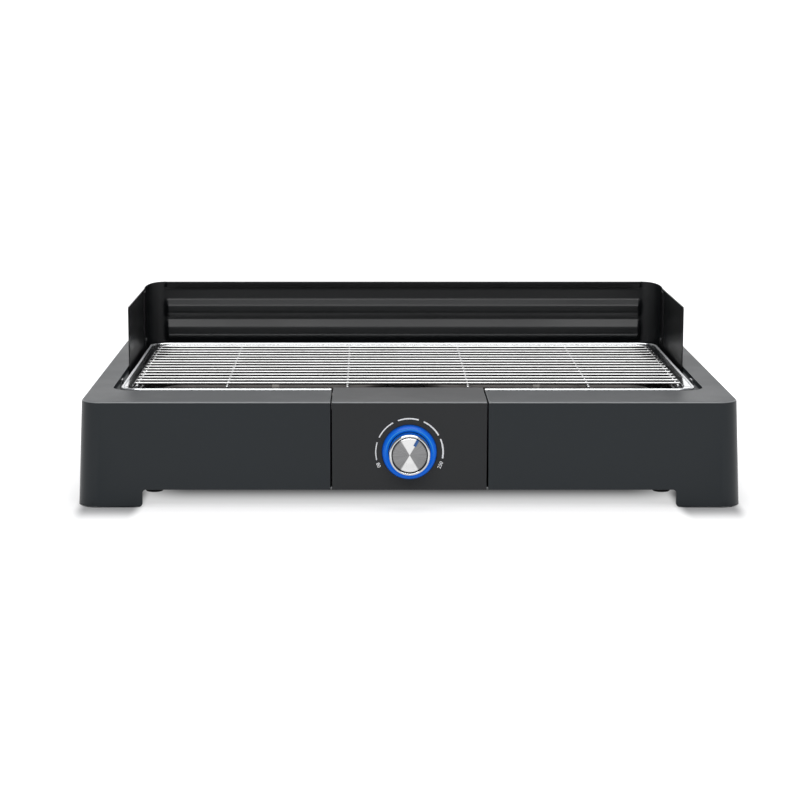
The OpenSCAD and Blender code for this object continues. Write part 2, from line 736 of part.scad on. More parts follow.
module light_ring() placed() color("#1e6fe0") {
    r = ring_d / 2;
    inner = knob_d / 2 + 0.6;
    turned([[inner, -3.6], [inner + 1, -4.4], [inner + 1.6, -4.6], [inner + 2, -5.6], [r - 2.2, -5.9],
        [r - 1, -5.2], [r - 0.2, -3.9], [r, -2.4], [r, ring_y], [r + 2, ring_y], [r + 2, ring_y + 1.2],
        [inner, ring_y + 1.2]]);
    for (a = [0, 120, 240]) translate([0, 0, dial_z]) rotate([0, a, 0])
        translate([0, ring_y + 1.2 - eps, r + 0.2]) rotate([-90, 0, 0])
            cylinder(r = 1, h = board_y - ring_y - 1.2 + eps);
}

module led_board() placed() color("#1f6b3a") difference() {
    rod_y(0, dial_z, ring_d / 2 + 1.4, board_y, board_y + 1.4);
    rod_y(0, dial_z, 12, board_y - 1, board_y + 3);
}

module leds() placed() color("#e8f0ff") for (i = [0 : 7])
    translate([0, 0, dial_z]) rotate([0, 45 * i + 22.5, 0])
        block(-1.75, 1.75, board_y - 1.2, board_y, knob_d / 2 + 1.3, knob_d / 2 + 4.1);

module safety_switch() placed() color("#1c1c1e") difference() {
    union() {
        block(switch_x - 10, switch_x + 10, switch_y - 3.2, switch_y + 3.2, switch_z, switch_z + 10.5);
        for (x = [-8, -1, 6]) block(switch_x + x, switch_x + x + 3, switch_y - 0.4, switch_y + 0.4,
            switch_z + 10.5, switch_z + 16);
    }
    translate([switch_x, switch_y, switch_z - 1]) cylinder(r = 1.6 + run_gap, h = 6.5);
    for (x = [-7, 7]) rod_y(switch_x + x, switch_z + 3, 1.2, switch_y - 8, switch_y + 8);
}

module switch_plunger() placed() color("#d8d4c8")
    translate([switch_x, switch_y, base_top + peg_h + gap]) {
        cylinder(r = 1.6, h = switch_z - base_top - peg_h + 3);
        cylinder(r = 2.2, h = 1.4);
    }

module terminal_block() placed() color("#e6e0d2") difference() {
    block(block_x - block_l / 2, block_x + block_l / 2, block_y, block_y + block_w, box_z + unit_t,
        box_z + unit_t + block_h);
    for (i = [-1 : 1]) {
        translate([block_x + i * pole_pitch, block_y + block_w / 4, box_z + unit_t + 6])
            cylinder(r = 2, h = block_h);
        rod_y(block_x + i * pole_pitch, box_z + unit_t + 5, 1.8, block_y + 9, block_y + block_w + 2);
    }
}

module wire(points) for (i = [0 : len(points) - 2]) hull() {
    translate(points[i]) sphere(r = wire_r, $fn = 10);
    translate(points[i + 1]) sphere(r = wire_r, $fn = 10);
}

module wiring() placed() color("#b5342c") {
    block_z = box_z + unit_t + 5;
    y0 = block_y + block_w + wire_r + 0.1;
    x1 = block_x - pole_pitch;
    x3 = block_x + pole_pitch;
    wire([[x1, y0, block_z], [x1, box_y1 - 9, block_z], [x1, box_y1 - 9, tube_z - wire_r],
        [-cold_x - 5, box_y1 - 14, tube_z - wire_r], [-cold_x - 4.6, box_y1 - 18.5, tube_z - wire_r]]);
    wire([[block_x, y0, block_z], [block_x, box_y1 - 10, block_z], [-20, box_y1 - 10, box_z + 12],
        [-20, 36, dial_z - 4], [-14.5, 32, dial_z - 2]]);
    wire([[x3, y0, block_z], [x3, box_y1 - 12, block_z], [20, box_y1 - 7.5, block_z + 1],
        [switch_x - 6.5, box_y1 - 7.5, box_z + 30], [switch_x - 6.5, switch_y + 1.5, box_z + 26.5]]);
    wire([[14.5, 26, dial_z], [22, 30, dial_z + 2], [30, 34, tube_z - 4],
        [cold_x + 4.6, box_y1 - 18.5, tube_z - wire_r]]);
}

module cord_gland() placed() color("#1c1c1e") difference() {
    union() {
        rod_y(gland_x, gland_z, gland_r + gland_wall, gland_y, gland_y + gland_l);
        block(gland_x - gland_r - gland_wall, gland_x + gland_r + gland_wall, gland_y, gland_y + 9,
            gland_z, box_z);
        rod_y(gland_x, gland_z, gland_r + gland_wall + 0.8, gland_y + gland_l - 3, gland_y + gland_l);
    }
    rod_y(gland_x, gland_z, gland_r, gland_y + 2, gland_y + gland_l + 1);
    translate([gland_x, gland_y + 4, gland_z]) cylinder(r = 2.4, h = 20);
}

module gland_clamp() placed() color("#2b2c2f") difference() {
    block(clamp_x - clamp_l / 2, clamp_x + clamp_l / 2, clamp_y - clamp_w / 2, clamp_y + clamp_w / 2,
        box_z + unit_t, box_z + unit_t + clamp_h);
    rod_y(clamp_x, box_z + unit_t, gland_r - 0.2, clamp_y - clamp_w, clamp_y + clamp_w);
}

module clamp_screws() placed() color("#9a9ca0") for (s = [-1, 1])
    translate([clamp_x + s * 0.35 * clamp_l, clamp_y, box_z + unit_t + clamp_h]) cylinder(r = 1.9, h = 1.6);

module thermostat_shaft() placed() color("#9a9ca0") difference() {
    rod_y(0, dial_z, shaft_r, -11, 15.5);
    block(-5, 5, -12, -4, dial_z + shaft_r - 0.8, dial_z + 5);
}

module knob_body() placed() color("#c9ccd0") {
    r = knob_d / 2;
    face = -knob_reach;
    seat = cap_d / 2 + 0.1;
    difference() {
        turned([[shaft_r + 0.05, -11.2], [0, -11.2], [0, face + 2.2], [seat, face + 2.2], [seat, face + 0.4],
            [seat + 0.6, face], [r - 0.9, face], [r, face + 0.9], [r, -1.2], [r - 1.6, -1.2],
            [r - 1.6, face + 4.6], [5.4, face + 4.6], [5.4, -3], [shaft_r + 0.05, -3]]);
        block(-0.6, 0.6, -8, 0, dial_z - 6, dial_z - 2.6);
    }
    block(-2, 2, -11, -4, dial_z + shaft_r - 0.75, dial_z + shaft_r + 1);
}

module knob_cap() placed() color("#c3c5c8") difference() {
    r = cap_d / 2;
    face = -knob_reach;
    turned([[0, face + 2.2], [0, face + 1.1], [r * 0.3, face + 0.95], [r - 0.8, face + 0.3], [r, face + 0.7],
        [r, face + 2.2]]);
    pointer_bar(0.05, face + 1.2);
}

module pointer_bar(grow, back) {
    r = cap_d / 2;
    translate([0, 0, dial_z]) rotate([0, pointer_angle, 0])
        block(-pointer_w / 2 - grow, pointer_w / 2 + grow, -knob_reach + 0.1 - grow, back,
            r - 0.2 - pointer_l - grow, r - 0.2 + grow);
}

module knob_pointer() placed() color("#2f7df0") pointer_bar(0, -knob_reach + 1.2);

module knob_clip() placed() color("#9a9ca0") difference() {
    rod_y(0, dial_z, 6.1, -8.5, -4.5);
    rod_y(0, dial_z, 5.45, -9, -4);
    block(-1.5, 1.5, -9, -4, dial_z - 8, dial_z - 3);
}

module grate_bars() placed() color("#d8dadd")
    for (i = [0 : bar_count - 1]) translate([-bar_x, bar_y0 + i * bar_pitch, bars_z])
        rotate([0, 90, 0]) cylinder(r = bar_d / 2, h = 2 * bar_x);

module grate_cross_wires() placed() color("#d8dadd")
    for (i = [0 : cross_count - 1])
        rod_y((i - (cross_count - 1) / 2) * cross_pitch, cross_z, cross_d / 2,
            bar_y0 - cross_over, bar_y1 + cross_over);

module grate_end_wires() placed() color("#d8dadd")
    for (s = [-1, 1]) rod_y(s * end_wire_x, cross_z, cross_d / 2, bar_y0 - 5, bar_y1 + 5);

// The form that a rib is pressed over, with sloping ends
module rib_form(z0) {
    half = shield_x - shield_r - 1;
    slope = (rib_h - rib_face) / 2;
    y0 = shield_y1 - sheet_t;
    intersection() {
        translate([-half, 0, 0]) rotate([90, 0, 90]) linear_extrude(height = 2 * half)
            polygon([[shield_y1 + 5, z0], [y0, z0], [y0 - rib_d, z0 + slope],
                [y0 - rib_d, z0 + slope + rib_face], [y0, z0 + rib_h], [shield_y1 + 5, z0 + rib_h]]);
        translate([0, 0, z0 - 1]) linear_extrude(height = rib_h + 2)
            polygon([[-half, shield_y1 + 5], [half, shield_y1 + 5], [half, y0], [half - slope, y0 - rib_d],
                [slope - half, y0 - rib_d], [-half, y0]]);
    }
}

module shield_ribs() for (i = [0, 1]) rib_form(body_h + bead_proud + i * rib_h);

module windshield_back() placed() color("#232426") {
    half = shield_x - shield_r;
    wing_x = shield_x - sheet_t * 1.5;
    wing_top = side_top - 2;
    difference() {
        union() {
            block(-half, half, shield_y1 - sheet_t, shield_y1, shield_z, shield_top);
            shield_ribs();
        }
        translate([0, sheet_t, 0]) shield_ribs();
        block(-half_w, half_w, shield_y1, body_d, 0, shield_top + 50);
    }
    block(1 - half, half - 1, shield_y1 - 2 * sheet_t, shield_y1 - sheet_t, shield_top - hem_h, shield_top);
    for (s = [-1, 1]) {
        difference() {
            translate([s * half, wing_y, shield_z]) rotate(s > 0 ? 0 : 90) rotate_extrude(angle = 90)
                translate([shield_r - sheet_t, 0]) square([sheet_t, shield_top - shield_z]);
            translate([s * (half + shield_r / 2) - shield_r, 0, 0]) rotate([90, 0, 90])
                linear_extrude(height = 2 * shield_r) polygon([[wing_y - 5, side_top], [wing_y + 2, side_top],
                    [wing_y + shield_r * 0.72, shield_top - 1], [shield_y1 + 1, shield_top],
                    [shield_y1 + 1, shield_top + 5], [wing_y - 5, shield_top + 5]]);
        }
        difference() {
            block(s * wing_x - sheet_t / 2, s * wing_x + sheet_t / 2, wing_y - lap_l, wing_y - 2,
                shield_z, wing_top);
            for (z = rivet_z) translate([s * wing_x - 5, lap_y, z]) rotate([0, 90, 0])
                cylinder(r = 1.6, h = 10);
        }
        block(s * (shield_x - sheet_t) - sheet_t, s * (shield_x - sheet_t) + sheet_t, wing_y - 2,
            wing_y, shield_z, wing_top);
    }
}

module side_panel(s) {
    x = s * (shield_x - sheet_t / 2);
    difference() {
        block(x - sheet_t / 2, x + sheet_t / 2, shield_y0, wing_y - 2 - gap,
            shield_z, side_top);
        translate([x, shield_y0, side_top]) difference() {
            cube([10, 2 * panel_r, 2 * panel_r], center = true);
            translate([-6, panel_r, -panel_r]) rotate([0, 90, 0]) cylinder(r = panel_r, h = 12);
        }
        for (z = rivet_z) translate([x - 5, lap_y, z]) rotate([0, 90, 0]) cylinder(r = 1.6, h = 10);
    }
}

module windshield_left() placed() color("#232426") side_panel(-1);

module windshield_right() placed() color("#232426") side_panel(1);

module shield_rivets() placed() color("#3a3b3e") for (s = [-1, 1], z = rivet_z)
    translate([s * shield_x, lap_y, z]) rotate([0, s * 90, 0]) {
        translate([0, 0, -2 * sheet_t - 0.8]) cylinder(r = rivet_r - 0.6, h = 0.8);
        translate([0, 0, -2 * sheet_t]) cylinder(r = 1.5, h = 2 * sheet_t);
    }

housing_shell();
base_plate();
base_screws();
rubber_feet();
heat_shield();
inner_frame();
shield_clips();
drip_tray();
control_panel();
control_box();
box_screws();
heat_barrier();
heating_element();
element_flange();
element_braces();
element_terminals();
thermostat();
thermostat_bracket();
thermostat_screws();
light_ring();
led_board();
leds();
safety_switch();
switch_plunger();
terminal_block();
wiring();
cord_gland();
gland_clamp();
clamp_screws();
thermostat_shaft();
knob_body();
knob_cap();
knob_pointer();
knob_clip();
grate_bars();
grate_cross_wires();
grate_end_wires();
windshield_back();
windshield_left();
windshield_right();
shield_rivets();
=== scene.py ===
import math
import bmesh
import bpy
from mathutils import Matrix, Vector


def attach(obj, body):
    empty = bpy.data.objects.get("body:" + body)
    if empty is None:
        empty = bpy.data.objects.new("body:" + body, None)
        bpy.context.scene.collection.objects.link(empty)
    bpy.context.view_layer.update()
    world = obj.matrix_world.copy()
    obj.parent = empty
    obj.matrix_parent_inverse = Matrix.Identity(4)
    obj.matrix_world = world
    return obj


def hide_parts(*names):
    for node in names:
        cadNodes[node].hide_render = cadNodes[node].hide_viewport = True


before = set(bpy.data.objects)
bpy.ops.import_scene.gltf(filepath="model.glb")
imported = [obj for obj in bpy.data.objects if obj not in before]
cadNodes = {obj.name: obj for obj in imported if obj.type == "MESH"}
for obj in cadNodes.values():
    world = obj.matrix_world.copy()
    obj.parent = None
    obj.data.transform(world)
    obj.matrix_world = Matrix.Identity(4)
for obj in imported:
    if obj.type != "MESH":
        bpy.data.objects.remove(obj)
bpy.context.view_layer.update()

mm = 0.001

# Millimetres, with y counted from the deck's front edge as the maker draws it
grill = {"deckWidth": 530, "deckDepth": 368, "deckHeight": 86, "lean": 3.4, "frontY": -177.5,
         "cornerRadius": 17, "dialHeight": 45.3, "trayMid": 201}


def at(x, y, z):
    return Vector((x, y + grill["frontY"], z)) * mm


# Camera, room and lamps
# The floor keys from nearLift to besideLegs shape the painted contact shadow round the body and legs
room = {"cameraAt": (-0.03235, -1.9178, 0.38022), "cameraTilt": 80.453, "lens": 99, "shiftX": 0.0385,
        "floorSize": 9, "floorTone": (0.35, 0.35, 0.354), "nearLift": 0.61, "farLift": 1.0,
        "outline": (0.2684, 0.1874), "inward": 0.0875, "under": (0.0, 0.0635), "underShare": 0.05, "outward": 0.15,
        "legs": (0.2424, 0.1610), "legHalves": (0.017, 0.024), "legReach": (0.006, 0.055), "legShare": 0.02,
        "sideways": 3.0, "besideLegs": 4.5,
        "backdropY": 2.6, "backdropHeight": 2.4, "roomTone": (0.20, 0.205, 0.215), "horizon": (0.06, 0.2),
        "lamps": {"overhead": ((0, 0.0, 2.3), (0, 0.0, 0.05), (2.4, 1.5), 39),  # place, aim, size, watts
                  "front": ((0, -2.0, 2.0), (0, 0, 0.05), (2.8, 1.0), 45)}}


def shaderTree(name):
    material = bpy.data.materials.new(name)
    material.use_nodes = True
    material.node_tree.nodes.clear()
    return material, material.node_tree


# Places a node, with each input either a value or another node's socket
def put(tree, kind, inputs=None, **settings):
    node = tree.nodes.new(kind)
    for key, value in settings.items():
        setattr(node, key, value)
    for key, value in (inputs or {}).items():
        if hasattr(value, "is_output"):
            tree.links.new(value, node.inputs[key])
        else:
            node.inputs[key].default_value = value
    return node


def mathOf(tree, operation, a, b=0.0, clamped=False):
    return put(tree, "ShaderNodeMath", {0: a, 1: b}, operation=operation, use_clamp=clamped).outputs[0]


def times(tree, a, b):
    return mathOf(tree, "MULTIPLY", a, b)


def stretched(tree, vector, factor):
    return put(tree, "ShaderNodeVectorMath", {0: vector, 1: factor}, operation="MULTIPLY").outputs[0]


def lengthOf(tree, vector):
    return put(tree, "ShaderNodeVectorMath", {0: vector}, operation="LENGTH").outputs["Value"]


def partOf(tree, vector, axis):
    return put(tree, "ShaderNodeSeparateXYZ", {0: vector}).outputs[axis]


# An S-shaped step between two limits
def spread(tree, value, low, high, outLow=0.0, outHigh=1.0):
    return put(tree, "ShaderNodeMapRange", {"Value": value, "From Min": low, "From Max": high, "To Min": outLow,
                                            "To Max": outHigh}, interpolation_type="SMOOTHSTEP").outputs[0]


# Two colours, each a tuple or a socket, mixed by a mask
def blended(tree, mask, low, high):
    low, high = [colour if hasattr(colour, "is_output") else (*colour, 1) for colour in (low, high)]
    return put(tree, "ShaderNodeMix", {"Factor": mask, 6: low, 7: high}, data_type="RGBA").outputs[2]


# How far a floor point lies from a centred box, or from four boxes that mirror each other
def farFrom(tree, halves, centre=(0.0, 0.0), sideways=1.0):
    place = put(tree, "ShaderNodeTexCoord").outputs["Object"]
    gaps = []
    for axis in (0, 1):
        size = mathOf(tree, "ABSOLUTE", partOf(tree, place, axis))
        off = mathOf(tree, "ABSOLUTE", mathOf(tree, "SUBTRACT", size, centre[axis]))
        gaps.append(mathOf(tree, "MAXIMUM", mathOf(tree, "SUBTRACT", off, halves[axis])))
    pair = put(tree, "ShaderNodeCombineXYZ", {0: times(tree, gaps[0], sideways), 1: gaps[1]})
    return lengthOf(tree, pair.outputs[0])


# The floor's white glow, lowered under the body and around the legs to paint a contact shadow there
def floorGlowAndPaintedShadow(tree):
    halves = [v - room["inward"] for v in room["outline"]]
    under = spread(tree, farFrom(tree, halves), *room["under"], room["underShare"], 1.0)
    atLegs = farFrom(tree, room["legHalves"], room["legs"], room["besideLegs"])
    legShadow = spread(tree, atLegs, *room["legReach"], room["legShare"], 1.0)
    near = times(tree, times(tree, under, legShadow), room["nearLift"])
    away = farFrom(tree, room["outline"], (0.0, 0.0), room["sideways"])
    return put(tree, "ShaderNodeMapRange", {"Value": away, "From Min": 0.0, "From Max": room["outward"],
                                            "To Min": near, "To Max": room["farLift"]}).outputs[0]


# 1 for the rays that show a white background: from the camera, off gloss or through something clear
def seenRays(tree):
    path = put(tree, "ShaderNodeLightPath")
    first = mathOf(tree, "ADD", path.outputs["Is Camera Ray"], path.outputs["Is Glossy Ray"])
    return mathOf(tree, "ADD", first, path.outputs["Is Transmission Ray"], True)


def stageTone(name, tone, lift=None):
    material, tree = shaderTree(name)
    if lift is None:
        lift = floorGlowAndPaintedShadow(tree)
    base = put(tree, "ShaderNodeBsdfDiffuse", {"Color": (*tone, 1)})
    glow = put(tree, "ShaderNodeEmission", {"Color": (1, 1, 1, 1), "Strength": lift})
    none = put(tree, "ShaderNodeEmission", {"Strength": 0})
    lit = put(tree, "ShaderNodeMixShader", {0: seenRays(tree), 1: none.outputs[0], 2: glow.outputs[0]})
    both = put(tree, "ShaderNodeAddShader", {0: base.outputs[0], 1: lit.outputs[0]})
    put(tree, "ShaderNodeOutputMaterial", {"Surface": both.outputs[0]})
    return material


def stagePlane(name, corners, material):
    mesh = bpy.data.meshes.new(name)
    mesh.from_pydata(corners, [], [(0, 1, 2, 3)])
    mesh.materials.append(material)
    plane = bpy.data.objects.new(name, mesh)
    bpy.context.scene.collection.objects.link(plane)


def setCamera():
    camera = bpy.data.objects.new("mainCamera", bpy.data.cameras.new("mainCamera"))
    bpy.context.scene.collection.objects.link(camera)
    camera.location = room["cameraAt"]
    camera.rotation_euler = (math.radians(room["cameraTilt"]), 0, 0)
    camera.data.lens, camera.data.sensor_width, camera.data.shift_x = room["lens"], 36, room["shiftX"]
    camera.data.clip_start, camera.data.clip_end = 0.05, 60
    bpy.context.scene.camera = camera


def setStage():
    half, deep, high = room["floorSize"] / 2, room["backdropY"], room["backdropHeight"]
    stagePlane("floor", [(-half, -half, 0), (half, -half, 0), (half, half, 0), (-half, half, 0)],
               stageTone("paleFloor", room["floorTone"]))
    stagePlane("backdrop", [(-half, deep, 0), (half, deep, 0), (half, deep, high), (-half, deep, high)],
               stageTone("paleBackdrop", room["floorTone"], 1.0))


# A white horizon that fades into the dim upper part of the studio
def setWorld():
    world = bpy.data.worlds.new("studio")
    world.use_nodes = True
    bpy.context.scene.world = world
    tree = world.node_tree
    tree.nodes.clear()
    height = partOf(tree, put(tree, "ShaderNodeTexCoord").outputs["Generated"], 2)
    low = spread(tree, height, *room["horizon"], 1.0, 0.0)
    around = put(tree, "ShaderNodeBackground", {"Color": (*room["roomTone"], 1)})
    behind = put(tree, "ShaderNodeBackground", {"Color": (1, 1, 1, 1)})
    mix = put(tree, "ShaderNodeMixShader", {0: times(tree, seenRays(tree), low), 1: around.outputs[0],
                                            2: behind.outputs[0]})
    put(tree, "ShaderNodeOutputWorld", {"Surface": mix.outputs[0]})


def setLamps():
    for name, (place, aim, size, power) in room["lamps"].items():
        lamp = bpy.data.lights.new(name + "Lamp", "AREA")
        lamp.shape, lamp.size, lamp.size_y, lamp.energy = "RECTANGLE", size[0], size[1], power
        holder = bpy.data.objects.new(name + "Lamp", lamp)
        bpy.context.scene.collection.objects.link(holder)
        holder.location = place
        holder.rotation_euler = (Vector(aim) - Vector(place)).to_track_quat("-Z", "Y").to_euler()


bpy.context.scene.view_settings.view_transform = "Standard"
setCamera()
setStage()
setWorld()
setLamps()
print("room, camera and lamps are set")


# Effects that several finishes share
def effect(name, inputs, outputs):
    group = bpy.data.node_groups.new(name, "ShaderNodeTree")
    for key, (kind, value) in inputs.items():
        socket = group.interface.new_socket(key, in_out="INPUT", socket_type=kind)
        if value is not None:
            socket.default_value = value
    for key in outputs:
        group.interface.new_socket(key, in_out="OUTPUT", socket_type="NodeSocketFloat")
    return group, put(group, "NodeGroupInput"), put(group, "NodeGroupOutput")


def noiseOf(tree, where, scale, detail=2.0, roughness=0.5):
    return put(tree, "ShaderNodeTexNoise", {"Vector": where, "Scale": scale, "Detail": detail,
                                            "Roughness": roughness}).outputs[0]


def mouldedGrain():
    group, given, result = effect("mouldedGrain", {"Where": ("NodeSocketVector", None),
                                                   "Scale": ("NodeSocketFloat", 2500.0)}, ["Height", "Patch"])
    scale = given.outputs["Scale"]
    fine = noiseOf(group, given.outputs["Where"], scale, 2.0, 0.55)
    cells = put(group, "ShaderNodeTexVoronoi", {"Vector": given.outputs["Where"], "Scale": times(group, scale, 0.7)},
                feature="SMOOTH_F1")
    height = mathOf(group, "ADD", fine, times(group, cells.outputs["Distance"], 0.6))
    group.links.new(height, result.inputs["Height"])
    patch = noiseOf(group, given.outputs["Where"], times(group, scale, 0.008), 3.0, 0.5)
    group.links.new(spread(group, patch, 0.35, 0.68), result.inputs["Patch"])
    return group


def brushedLines():
    group, given, result = effect("brushedLines", {"Where": ("NodeSocketVector", None),
                                                   "Along": ("NodeSocketVector", (1, 1, 1)),
                                                   "Scale": ("NodeSocketFloat", 900.0)}, ["Height", "Streak"])
    lay = stretched(group, given.outputs["Where"], given.outputs["Along"])
    fine = noiseOf(group, lay, given.outputs["Scale"], 3.0, 0.65)
    group.links.new(fine, result.inputs["Height"])
    broad = noiseOf(group, lay, times(group, given.outputs["Scale"], 0.21), 2.0, 0.5)
    group.links.new(spread(group, broad, 0.3, 0.7), result.inputs["Streak"])
    return group


def handledHaze():
    group, given, result = effect("handledHaze", {"Where": ("NodeSocketVector", None),
                                                  "Scale": ("NodeSocketFloat", 18.0)}, ["Haze"])
    cloud = noiseOf(group, given.outputs["Where"], given.outputs["Scale"], 4.0, 0.6)
    group.links.new(spread(group, cloud, 0.36, 0.66), result.inputs["Haze"])
    return group


def wornEdges():
    group, given, result = effect("wornEdges", {"Where": ("NodeSocketVector", None),
                                                "Reach": ("NodeSocketFloat", 0.53)}, ["Worn"])
    edge = put(group, "ShaderNodeNewGeometry").outputs["Pointiness"]
    near = spread(group, edge, given.outputs["Reach"], mathOf(group, "ADD", given.outputs["Reach"], 0.05))
    broken = spread(group, noiseOf(group, given.outputs["Where"], 60.0, 4.0, 0.6), 0.35, 0.6)
    group.links.new(times(group, near, broken), result.inputs["Worn"])
    return group


shared = {"grain": mouldedGrain(), "brush": brushedLines(), "haze": handledHaze(), "wear": wornEdges()}
print("shared effects are built")


def placed(tree, key, where, **values):
    return put(tree, "ShaderNodeGroup", {"Where": where, **values}, node_tree=shared[key])


def bumped(tree, height, strength, distance, below):
    inputs = {"Height": height, "Strength": strength, "Distance": distance}
    if below:
        inputs["Normal"] = below
    return put(tree, "ShaderNodeBump", inputs).outputs[0]


def upwardness(tree):
    return partOf(tree, put(tree, "ShaderNodeNewGeometry").outputs["Normal"], 2)


def fromAxis(tree, where):
    return lengthOf(tree, stretched(tree, where, (1, 0, 1)))


# A painted highlight: a lighter line along the edge between a flat top and its side
def rimHighlightMark(tree, where, shown, look):
    up = upwardness(tree)
    lip = times(tree, spread(tree, up, *look["side"]), spread(tree, up, *look["top"], 1.0, 0.0))
    return blended(tree, lip, shown, look["colour"])


# Painted shade: steel darkened on the sides that face down
def undersideShadeMark(tree, where, shown, look):
    return blended(tree, spread(tree, upwardness(tree), look["from"], look["to"]), look["colour"], shown)


# Painted highlight: light wedges above and below the middle of a face that was spun on a lathe, with fine rays from the
# tool
def wedgeHighlightMark(tree, where, shown, look):
    flat = stretched(tree, where, (1, 0, 1))
    ray = put(tree, "ShaderNodeVectorMath", {0: flat}, operation="NORMALIZE").outputs[0]
    rough = mathOf(tree, "SUBTRACT", noiseOf(tree, ray, look["rays"], 3.0, 0.6), 0.5)
    edge = mathOf(tree, "ADD", mathOf(tree, "ABSOLUTE", partOf(tree, ray, 0)), times(tree, rough, look["uneven"]))
    light = spread(tree, edge, look["edge"] - look["soft"], look["edge"] + look["soft"], 1.0, 0.0)
    fine = spread(tree, noiseOf(tree, ray, look["rays"] * 3.5, 2.0, 0.5), 0.3, 0.7, 0.0, look["fine"])
    return blended(tree, mathOf(tree, "ADD", light, fine, True), shown, look["light"])


# Painted shade: the knob body darkened inside the cap's seat, so the gap round the cap reads dark
def grooveShadeMark(tree, where, shown, look):
    outside = spread(tree, fromAxis(tree, where), look["from"] * mm, look["to"] * mm)
    return blended(tree, outside, look["colour"], shown)


# Painted shade in the tray's bowl, below its flange
def bowlShadeMark(tree, where, shown, look):
    above = spread(tree, partOf(tree, where, 2), look["from"] * mm, look["to"] * mm)
    return blended(tree, above, look["colour"], shown)


marks = {"rimHighlight": rimHighlightMark, "undersideShade": undersideShadeMark, "paintedWedges": wedgeHighlightMark, "grooveShade": grooveShadeMark, "deep": bowlShadeMark}


# The light guide's glow, with painted shade at its outer edge and a painted highlight line along the crest of its upper
# half
def glowWithPaintedLight(tree, where, bright, look):
    radius = fromAxis(tree, where)
    low, mid, high = [v * mm for v in look["line"]]
    outer = spread(tree, radius, (look["edge"] - look["soft"]) * mm, (look["edge"] + look["soft"]) * mm)
    line = times(tree, spread(tree, radius, low, mid), spread(tree, radius, mid, high, 1.0, 0.0))
    line = times(tree, line, spread(tree, partOf(tree, where, 2), look["highlightHeights"][0] * mm, look["highlightHeights"][1] * mm))
    return blended(tree, line, blended(tree, outer, bright, look["paintedEdgeShade"]), look["bright"])


# A finish from its own dictionary: colour, second colour in patches, roughness range, and what lies on it
def makeFinish(name, look):
    material, tree = shaderTree(name)
    where = put(tree, "ShaderNodeTexCoord").outputs["Object"]
    haze = placed(tree, "haze", where, Scale=look.get("hazeScale", 18.0))
    grain = placed(tree, "grain", where, Scale=look.get("grainScale", 2500.0))
    mask = grain.outputs["Patch"] if look.get("patchFrom") == "grain" else haze.outputs["Haze"]
    shown = blended(tree, mask, look["colour"], look["second"])
    roughness = put(tree, "ShaderNodeMapRange", {"Value": haze.outputs["Haze"], "To Min": look["rough"][0],
                                                 "To Max": look["rough"][1]}).outputs[0]
    if "sideBead" in look:
        bead = look["sideBead"]
        side = spread(tree, mathOf(tree, "ABSOLUTE", partOf(tree, where, 0)), *bead["x"])
        worn = times(tree, side, spread(tree, partOf(tree, where, 2), *bead["z"]))
        roughness = put(tree, "ShaderNodeMix", {"Factor": worn, 2: roughness, 3: bead["rough"]}).outputs[0]
    normal = None
    if "grainDepth" in look:
        normal = bumped(tree, grain.outputs["Height"], look.get("grainStrength", 0.5), look["grainDepth"], normal)
    if "brushAlong" in look:
        brush = placed(tree, "brush", where, Along=look["brushAlong"], Scale=look["brushScale"])
        strength, depth = look.get("brushStrength", 0.4), look.get("brushDepth", 0.00002)
        normal = bumped(tree, brush.outputs["Height"], strength, depth, normal)
        streak = times(tree, brush.outputs["Streak"], look.get("streak", 0.5))
        shown = blended(tree, streak, shown, look.get("streakColour", look["colour"]))
    if "wearColour" in look:
        worn = placed(tree, "wear", where)
        shown = blended(tree, times(tree, worn.outputs["Worn"], look.get("wear", 0.4)), shown, look["wearColour"])
    for key, mark in marks.items():
        if key in look:
            shown = mark(tree, where, shown, look[key])
    surface = put(tree, "ShaderNodeBsdfPrincipled", {
        "Base Color": shown, "Roughness": roughness, "Metallic": look.get("metal", 0.0),
        "Specular IOR Level": look.get("shine", 0.5), "Coat Weight": look.get("coat", 0.0), "Coat Roughness": 0.1,
        "Anisotropic": look.get("spun", 0.0)})
    if normal:
        tree.links.new(normal, surface.inputs["Normal"])
    if "spun" in look:
        turn = put(tree, "ShaderNodeTangent", direction_type="RADIAL", axis="Y")
        tree.links.new(turn.outputs[0], surface.inputs["Tangent"])
    if "glow" in look:
        surface.inputs["Emission Color"].default_value = (*look["glowColour"], 1)
        surface.inputs["Emission Strength"].default_value = look["glow"]
        if "glowRing" in look:
            ring = glowWithPaintedLight(tree, where, look["glowColour"], look["glowRing"])
            tree.links.new(ring, surface.inputs["Emission Color"])
    put(tree, "ShaderNodeOutputMaterial", {"Surface": surface.outputs[0]})
    return material


# Mesh helpers: lengths in metres, angles in degrees
meshing = {"same": 1e-7, "cadSame": 2e-6, "cadTiny": 5e-6, "cadFlat": 0.25, "skinBand": 0.12 * mm, "rimBand": 1.1 * mm}


def finishPiece(name, build, body, finish, replaced=(), crease=35.0, origin=None):
    bmesh.ops.remove_doubles(build, verts=build.verts, dist=meshing["same"])
    bmesh.ops.recalc_face_normals(build, faces=build.faces)
    if origin:
        bmesh.ops.translate(build, verts=build.verts, vec=-origin)
    mesh = bpy.data.meshes.new(name)
    build.to_mesh(mesh)
    build.free()
    mesh.materials.append(finish)
    mesh.shade_smooth()
    mesh.set_sharp_from_angle(angle=math.radians(crease))
    piece = bpy.data.objects.new(name, mesh)
    bpy.context.scene.collection.objects.link(piece)
    if origin:
        piece.location = origin
    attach(piece, body)
    if replaced:
        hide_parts(*replaced)
    return piece


# Turns modifiers into mesh
def settle(piece):
    solved = piece.evaluated_get(bpy.context.evaluated_depsgraph_get())
    mesh = bpy.data.meshes.new_from_object(solved)
    piece.modifiers.clear()
    old = piece.data
    piece.data = mesh
    bpy.data.meshes.remove(old)
    return piece


